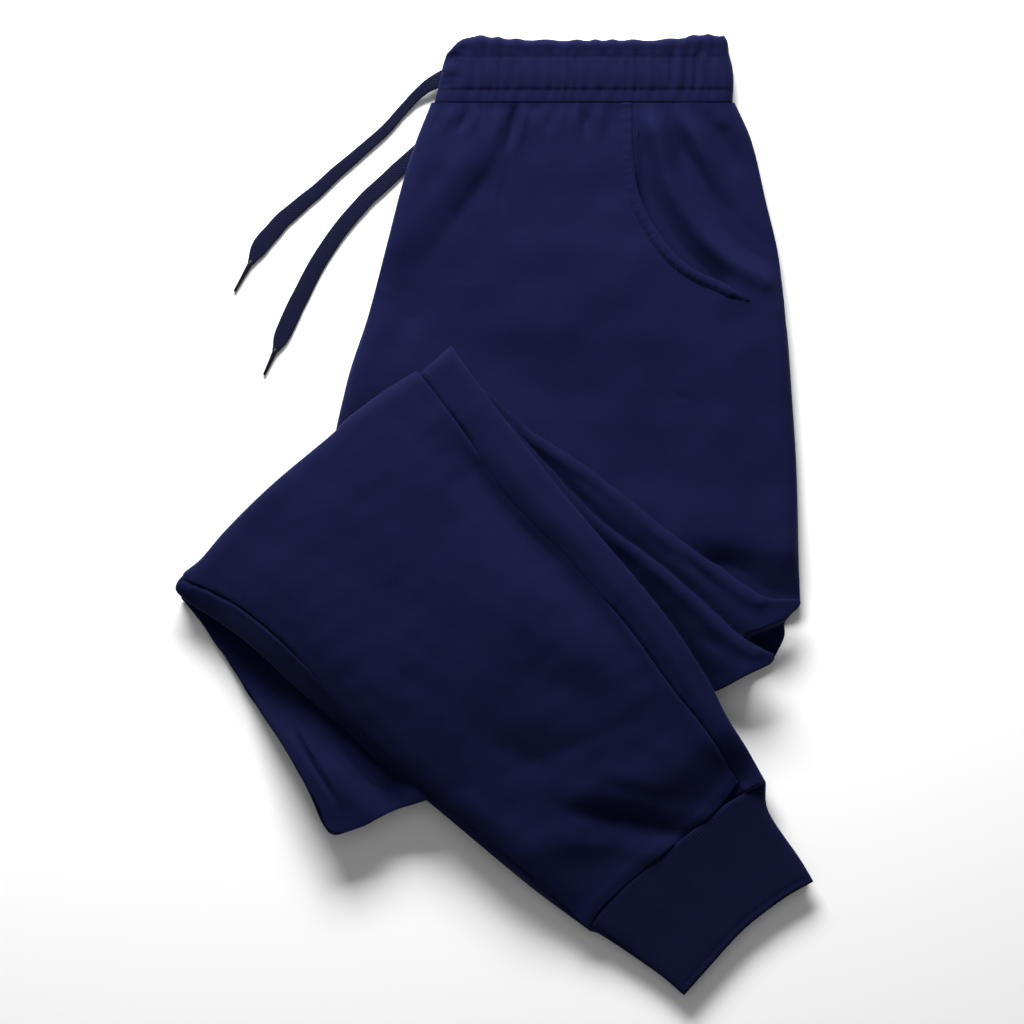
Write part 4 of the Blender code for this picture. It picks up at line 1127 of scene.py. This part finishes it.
# %% Lower legs
LEG_RIM = ((1.2, 0.0), (0.35, 0.22), (0.0, 0.42), (0.7, 0.66), (2.4, 0.85), (5.2, 0.96), (9.0, 1.0))
BACK_CREASES = (
    (((-18, 92), (4, 62), (26, 32)), 3.0, 3.0, 0.7, "se"),
    (((120, -92), (135, -118), (150, -146)), 3.0, 4.0, 0.8, "se"),
)
FRONT_CREASES = (
    (((22, -180), (52, -192), (84, -200), (110, -206), (130, -210)), 9.0, 8.0, 2.8, "s"),
    (((16, -214), (50, -214), (84, -213)), 9.0, 9.0, -1.2, "se"),
    (((60, -160), (90, -172), (126, -180)), 9.0, 9.0, -1.3, "se"),
    (((-150, -40), (-110, -78), (-60, -122), (-10, -166)), 14.0, 24.0, -1.2, "se"),
    (((-46, 36), (-24, -2), (8, -44)), 20.0, 20.0, 1.5, "se"),
    (((10, -96), (48, -112), (86, -124)), 14.0, 16.0, 1.3, "se"),
    (((-20, -140), (20, -158), (50, -168)), 12.0, 12.0, 1.5, "se"),
    (((-120, 6), (-96, -20), (-66, -46)), 18.0, 18.0, 1.1, "se"),
)
# Share of the seam's length from the knee to the cuff, and how far the leg has dropped there
INSEAM_DROP = ((0, 0.4), (0.16, 1.0), (0.3, 2.8), (0.42, 4.4), (0.58, 4.6), (0.7, 4.2), (0.8, 3.2), (1, 1.6))
VALLEY_DROP = ((0, 0), (0.1, 0), (0.16, 3.4), (0.22, 6.0), (0.44, 6.4), (0.54, 4.0), (0.66, 1.4), (1, 0.3))
ABOVE_SEAM = 0.3
PRESSED_HEIGHT = 31.0
DESCENT = 6.5
FOLD_DEPTH = 9.0
# The back panel's lower side over the knee part, and both its sides under the front panel's upper side
CLEARANCE = 0.9
BACK_LOW, BACK_HIGH = 4.6, 3.4
THINNEST = 1.2
SEAM_SWELLING = 1.4
TURN_DOWN = 6.5
DROP_AT_SEAM = 1.3
KNEE_ROLL, KNEE_REACH = 4.5, 9
CUFF_PUFF = 0.8
# The way down the lower leg, in plan
DOWN_X, DOWN_Y = 0.68, -0.73


def outside_front(x, y):
    """How far a place lies outside the front panel's outseam or inseam."""
    return np.maximum(-along_line(x, y, OUTSEAM)[0], along_line(x, y, INSEAM)[0])


def inseam_roll(x, y):
    """How far the leg has rolled down towards its inseam: a wide roll, fullest above the knee part's end."""
    away, share = along_line(x, y, INSEAM)
    return look_up(share, INSEAM_DROP) * np.clip(1 + away / 16, 0, 1.3) ** 2


def seam_valley(x, y):
    """The outseam lies on the slope of a soft valley over the middle of the leg."""
    away, share = along_line(x, y, OUTSEAM)
    return look_up(share, VALLEY_DROP) * bump_at(away, 10, np.where(away > 10, 16.0, 10.0))


def seam_softness(x, y):
    """1 where the leg rolls over a seam and hides it, 0 where the seam shows as a line."""
    beside_inseam, down_inseam = along_line(x, y, INSEAM)
    beside_outseam, down_outseam = along_line(x, y, OUTSEAM)
    inner = ramp(down_inseam, 0.24, 0.34)
    outer = ramp(down_outseam, 0.17, 0.21) * ramp(down_outseam, 0.6, 0.55)
    return np.where(beside_inseam > -beside_outseam, inner, outer)


def front_level(x, y):
    """The lower leg's upper side: high over the pile, then down to the cuff, with a deep fold above it."""
    level, steps = 0, (-20, -10, 0, 10, 20)
    for step in steps:
        level = level + read(upper["leg_front"], x + DOWN_X * step, y + DOWN_Y * step) / len(steps)
    level += (PRESSED_HEIGHT - level) * pressed(x, y)
    past = np.maximum(along_line(x, y, BOTTOM_CREASE)[0], 0)
    share = past / (past + distance_to(x, y, FRONT_CUFF_SEAM) + 0.1)
    # The fold starts earlier in the middle of the leg than at its sides
    middle = bump_at(-DOWN_Y * x + DOWN_X * y, -74, 32)
    fold = middle * ramp(share, 0.3, 0.8) + (1 - middle) * ramp(share, 0.4, 1)
    level -= DESCENT * share + FOLD_DEPTH * fold
    return level - inseam_roll(x, y) - seam_valley(x, y)


def make_leg_back():
    """Under the front panel it stays low; beyond the seams it comes up to the front panel's level."""
    net = edge_net(190, 330, LEG_RIM, 1.8, edges=(1, 1, 1, 0.3))
    x, y = plan_of(net, LOWER_EDGE, OUTSEAM_EDGE, BAND_CREASE, BACK_CUFF_SEAM)
    low, high = read(lower["leg_back"], x, y), read(upper["leg_back"], x, y)
    front = front_level(x, y)
    # Its lower side follows the roll at the inseam, clear of the knee part under it
    clear = read(upper["fold_right"], x, y) + right_fold_relief(x, y) + CLEARANCE
    low = np.maximum(low - 0.8 * inseam_roll(x, y), np.minimum(low, clear))
    low = np.minimum(low, front - BACK_LOW)
    # Its upper side stays under the front panel, also in that panel's creases
    high = np.minimum(high, front - BACK_HIGH + np.minimum(creased(x, y, FRONT_CREASES), 0))
    low = np.clip(low, 0.2, np.maximum(high - 1.4, 0.2))
    high = np.maximum(high, low + THINNEST)
    soft, beyond = seam_softness(x, y), outside_front(x, y)
    # Beyond the seams it comes up, over a longer way where a seam is hidden in a roll
    rise = np.maximum(front - ABOVE_SEAM * (1 - soft) - high, 0)
    high = high + rise * smooth((beyond + 0.3 + 6.0 * soft) / (1.7 + 4.0 * soft))
    # A soft swelling follows the outseam, and the cloth turns down past the inseam
    beside, share = along_line(x, y, OUTSEAM)
    high += SEAM_SWELLING * bump_at(-beside, 11, 6.0) * ramp(share, 0.12, 0.27)
    high -= TURN_DOWN * np.clip(along_line(x, y, INSEAM)[0] / 13, 0, 1.2) ** 1.3
    high = np.maximum(high, low + THINNEST)
    relief = creased(x, y, BACK_CREASES) + 0.25 * uneven(x, y, 40, 21) + 0.12 * uneven(x, y, 15, 22)
    high += relief * (1 - soft * ramp(beyond, 8, 0))
    return lay_slab("lower_leg_back", "leg_back", x, y, low, high, lifts(LEG_RIM, net.ring), fleece["leg"])


def make_leg_front():
    """It ends on the back panel at both seams, rolls over the knee's crease and puffs up at the cuff."""
    net = edge_net(165, 330, PLY_RIM, 1.7, edges=(1, 1, 1, 0.5))
    x, y = plan_of(net, INSEAM, OUTSEAM, KNEE_CREASE, FRONT_CUFF_SEAM)
    level = front_level(x, y)
    inside = np.maximum(-outside_front(x, y), 0)
    level += creased(x, y, FRONT_CREASES) * ramp(inside, 0, 10)
    level += (0.6 * uneven(x, y, 64, 31) + 0.15 * uneven(x, y, 19, 32)) * ramp(inside, 0, 10)
    drop = DROP_AT_SEAM - seam_softness(x, y)
    level -= drop * (1 - lifts(PLY_RIM, net.ring))
    from_knee = np.clip(distance_to(x, y, KNEE_CREASE) / KNEE_REACH, 0, 1)
    level -= KNEE_ROLL * (1 - np.sqrt(1 - (1 - from_knee) ** 2))
    level += CUFF_PUFF * bump_at(distance_to(x, y, FRONT_CUFF_SEAM), 5, 4.5)
    return lay_ply("lower_leg_front", "leg_front", x, y, level, 1.4, fleece["leg"])


pieces["leg_back"] = make_leg_back()
pieces["leg_front"] = make_leg_front()
print("lower legs laid")

# %% [markdown]
# ## Cuffs
#
# The cuffs are tubes of rib knit, doubled over, with fine ribs that run up the leg and one row of stitches
# 4 mm from the hem. Flattened, a tube has a round fold at each side. The left one lies on the right one.

# %% Cuffs
CUFF_HEIGHT = 5.6
CUFF_SPAN = 110.0
CUFF_LENGTH = 71.0
CUFF_COLUMNS, CUFF_ROWS = 84, 56
CUFF_EDGE = ((0.0, 0.0), (0.35, 0.34), (1.0, 0.60), (2.2, 0.82), (4.5, 0.95), (9.0, 1.0))


def make_cuff(name, node, floor, end, drawn_in, rise, seed):
    """A flattened tube of rib knit; rise is how much higher it is at the leg than at its hem."""
    left = [inset / CUFF_SPAN for inset, _ in CUFF_EDGE]
    heights = [height for _, height in CUFF_EDGE]
    middle = list(np.linspace(left[-1], 1 - left[-1], CUFF_COLUMNS)[1:-1])
    across = np.array(left + middle + [1 - share for share in left[::-1]])
    lift = np.array(heights + [1.0] * len(middle) + heights[::-1])
    across = np.concatenate([across, across[-2:0:-1]])
    lift = np.concatenate([lift, -lift[-2:0:-1]])
    net_u, net_v = np.meshgrid(drawn_in + across * (1 - 2 * drawn_in), np.linspace(0, end, CUFF_ROWS))
    x, y = plan(CUFF_INNER, CUFF_OUTER, CUFF_TOP, CUFF_HEM, net_u, net_v)
    from_hem = (end - net_v) * CUFF_LENGTH
    from_leg = net_v * CUFF_LENGTH
    # The tube is thinner under its row of stitches, at its hem and where it is sewn to the leg
    shape = 1 - 0.20 * bump_at(from_hem, 4.2, 0.8) - 0.25 * bump_at(from_hem, 0, 1.0)
    shape -= 0.25 * bump_at(from_leg, 0, 1.5)
    wave = 0.22 * uneven(x, y, 26, seed) + rise * np.clip(1 - from_leg / 45, 0, 1) ** 1.5
    z = floor + CUFF_HEIGHT / 2 * (1 + lift[None, :] * shape) + wave * np.maximum(lift, 0)[None, :]
    item = add_piece(name, as_points(x, y, z), quads(*x.shape, ring=True), fleece["cuff"])
    thicken(item, 1.7)
    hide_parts(node)
    return item


pieces["cuff_right"] = make_cuff("cuff_right_knit", "cuff_right", 0.0, 0.94, 0.015, 0.0, 41)
pieces["cuff_left"] = make_cuff("cuff_left_knit", "cuff_left", 6.2, 1.0, 0.0, 3.4, 44)
print("cuffs laid")

# %% [markdown]
# ## Stitches
#
# The seams that show are sewn with navy polyester thread, three stitches to the centimetre. Each stitch is a
# small spindle that sinks into the cloth at both ends. They follow the waistband's rows, the pocket's hem
# and the cuff's hem, and a bar of crosswise stitches holds the pocket's upper end.

# %% Stitches
thread, _, _ = new_material(
    "polyester thread", Base_Color=linear("090C2A"), Roughness=0.55, IOR=1.5, Specular_IOR_Level=0.15)
STITCH_PITCH, STITCH_LENGTH, STITCH_HALF_WIDTH = 3.2, 2.4, 0.28
# The pocket's row is this far in from the opening, and the cuff's row at this share of its length
HEM_ROW, CUFF_ROW = 5.35, 0.941
# Corners of a stitch, as shares along and across it and a height: two ends, two sides, crown, underside
STITCH_POINTS = ((-1, 0, -0.15), (1, 0, -0.15), (0, -1, 0), (0, 1, 0), (0, 0, 0.25), (0, 0, -0.3))
STITCH_FACES = ((0, 2, 4), (2, 1, 4), (1, 3, 4), (3, 0, 4), (0, 5, 2), (2, 5, 1), (1, 5, 3), (3, 5, 0))


def add_stitches(name, rows):
    """Stitches over finished pieces; a row gives the piece, its line, the pitch, a length and if it turns."""
    points, faces = [], []
    for item, line, pitch, length, turned in rows:
        tree = BVHTree.FromObject(item, bpy.context.evaluated_depsgraph_get())
        count = max(2, int(np.linalg.norm(np.diff(line, axis=0), axis=1).sum() / pitch))
        places = on_curve(line, (np.arange(count) + 0.5) / count)
        ways = np.gradient(places, axis=0)
        ways /= np.linalg.norm(ways, axis=1)[:, None]
        for place, way in zip(places, ways):
            above = Vector((place[0] * MM, place[1] * MM, ABOVE_ALL))
            hit = tree.ray_cast(above, Vector((0, 0, -1)))[0]
            if hit is None:
                continue
            if turned:
                way = np.array([-way[1], way[0]])
            end, side = way * length / 2, np.array([-way[1], way[0]]) * STITCH_HALF_WIDTH
            z, first = hit.z / MM, len(points)
            points += [
                (*(place + along * end + across * side), z + up) for along, across, up in STITCH_POINTS]
            faces += [tuple(first + k for k in face) for face in STITCH_FACES]
    return add_piece(name, points, faces, thread)


opening, inwards = opening_frame(np.linspace(0.03, 0.96, 60))
bar = np.array([(92.5, 249.5), (92.6, 247), (92.8, 244.5)])
cuff_row = plan(CUFF_INNER, CUFF_OUTER, CUFF_TOP, CUFF_HEM, np.linspace(0.04, 0.96, 30), np.full(30, CUFF_ROW))
stitches = [
    add_stitches("waistband_stitches", [
        (pieces["waistband"], np.array([(-34, row), (58, row), (152, row)]),
         STITCH_PITCH, STITCH_LENGTH, False)
        for row in STITCH_ROWS]),
    add_stitches("pocket_stitches", [
        (pieces["hem"], opening + inwards * HEM_ROW, STITCH_PITCH, STITCH_LENGTH, False),
        (pieces["facing"], bar, 0.5, 3.6, True)]),
    add_stitches("cuff_stitches", [
        (pieces["cuff_left"], np.stack(cuff_row, axis=-1), 3.0, 2.2, False)]),
]
print("stitches:", sum(len(item.data.polygons) for item in stitches) // 8)

# %% [markdown]
# ## Sizes of the cloth
#
# Each piece prints half the area of its surface, thickness included, which is about the area of one face of
# its cloth.

# %% Areas of the cloth
def surface_area(item):
    """Area of a piece's surface, modifiers included, in square metres."""
    mesh = item.evaluated_get(bpy.context.evaluated_depsgraph_get()).to_mesh()
    return sum(face.area for face in mesh.polygons)


for key, item in pieces.items():
    print(f"{key}: half surface {surface_area(item) / 2:.4f} m2")

# %% [markdown]
# ## Floor and light
#
# A plain floor of white paper, and one large soft light from the waistband's end, as from a studio window,
# so that every fold has a light side and a dark side. A weak light from above and a dim white sky keep the
# folds from going black. All are set for the dark cloth, and that much light turns the paper fully white.

# %% Floor, lights and view
FLOOR_EDGE = 3.0
FLOOR_LEVEL = -0.0002


def make_floor():
    mesh = bpy.data.meshes.new("floor")
    corners = [(x * FLOOR_EDGE, y * FLOOR_EDGE, FLOOR_LEVEL) for x, y in ((-1, -1), (1, -1), (1, 1), (-1, 1))]
    mesh.from_pydata(corners, [], [(0, 1, 2, 3)])
    floor = bpy.data.objects.new("floor", mesh)
    bpy.context.scene.collection.objects.link(floor)
    paper, _, _ = new_material("matte white paper", Base_Color=linear("F4F4F4"), Roughness=0.9, IOR=1.45)
    mesh.materials.append(paper)


def add_light(name, place, size, power):
    """A rectangular light, turned to the garment's middle; sizes in metres and power in watts."""
    light = bpy.data.lights.new(name, "AREA")
    light.shape = "RECTANGLE"
    light.size, light.size_y = size
    light.energy = power
    item = bpy.data.objects.new(name, light)
    bpy.context.scene.collection.objects.link(item)
    item.location = place
    item.rotation_euler = (-Vector(place)).to_track_quat("-Z", "Y").to_euler()


make_floor()
add_light("window", (-0.2, 1.3, 0.76), (1.0, 0.5), 60)
add_light("ceiling", (0, 0, 2.4), (2.5, 2.5), 10)
world = bpy.data.worlds.new("studio")
world.use_nodes = True
sky = world.node_tree.nodes["Background"]
sky.inputs["Color"].default_value = (1, 1, 1, 1)
sky.inputs["Strength"].default_value = 0.12
bpy.context.scene.world = world
bpy.context.scene.view_settings.view_transform = "Standard"
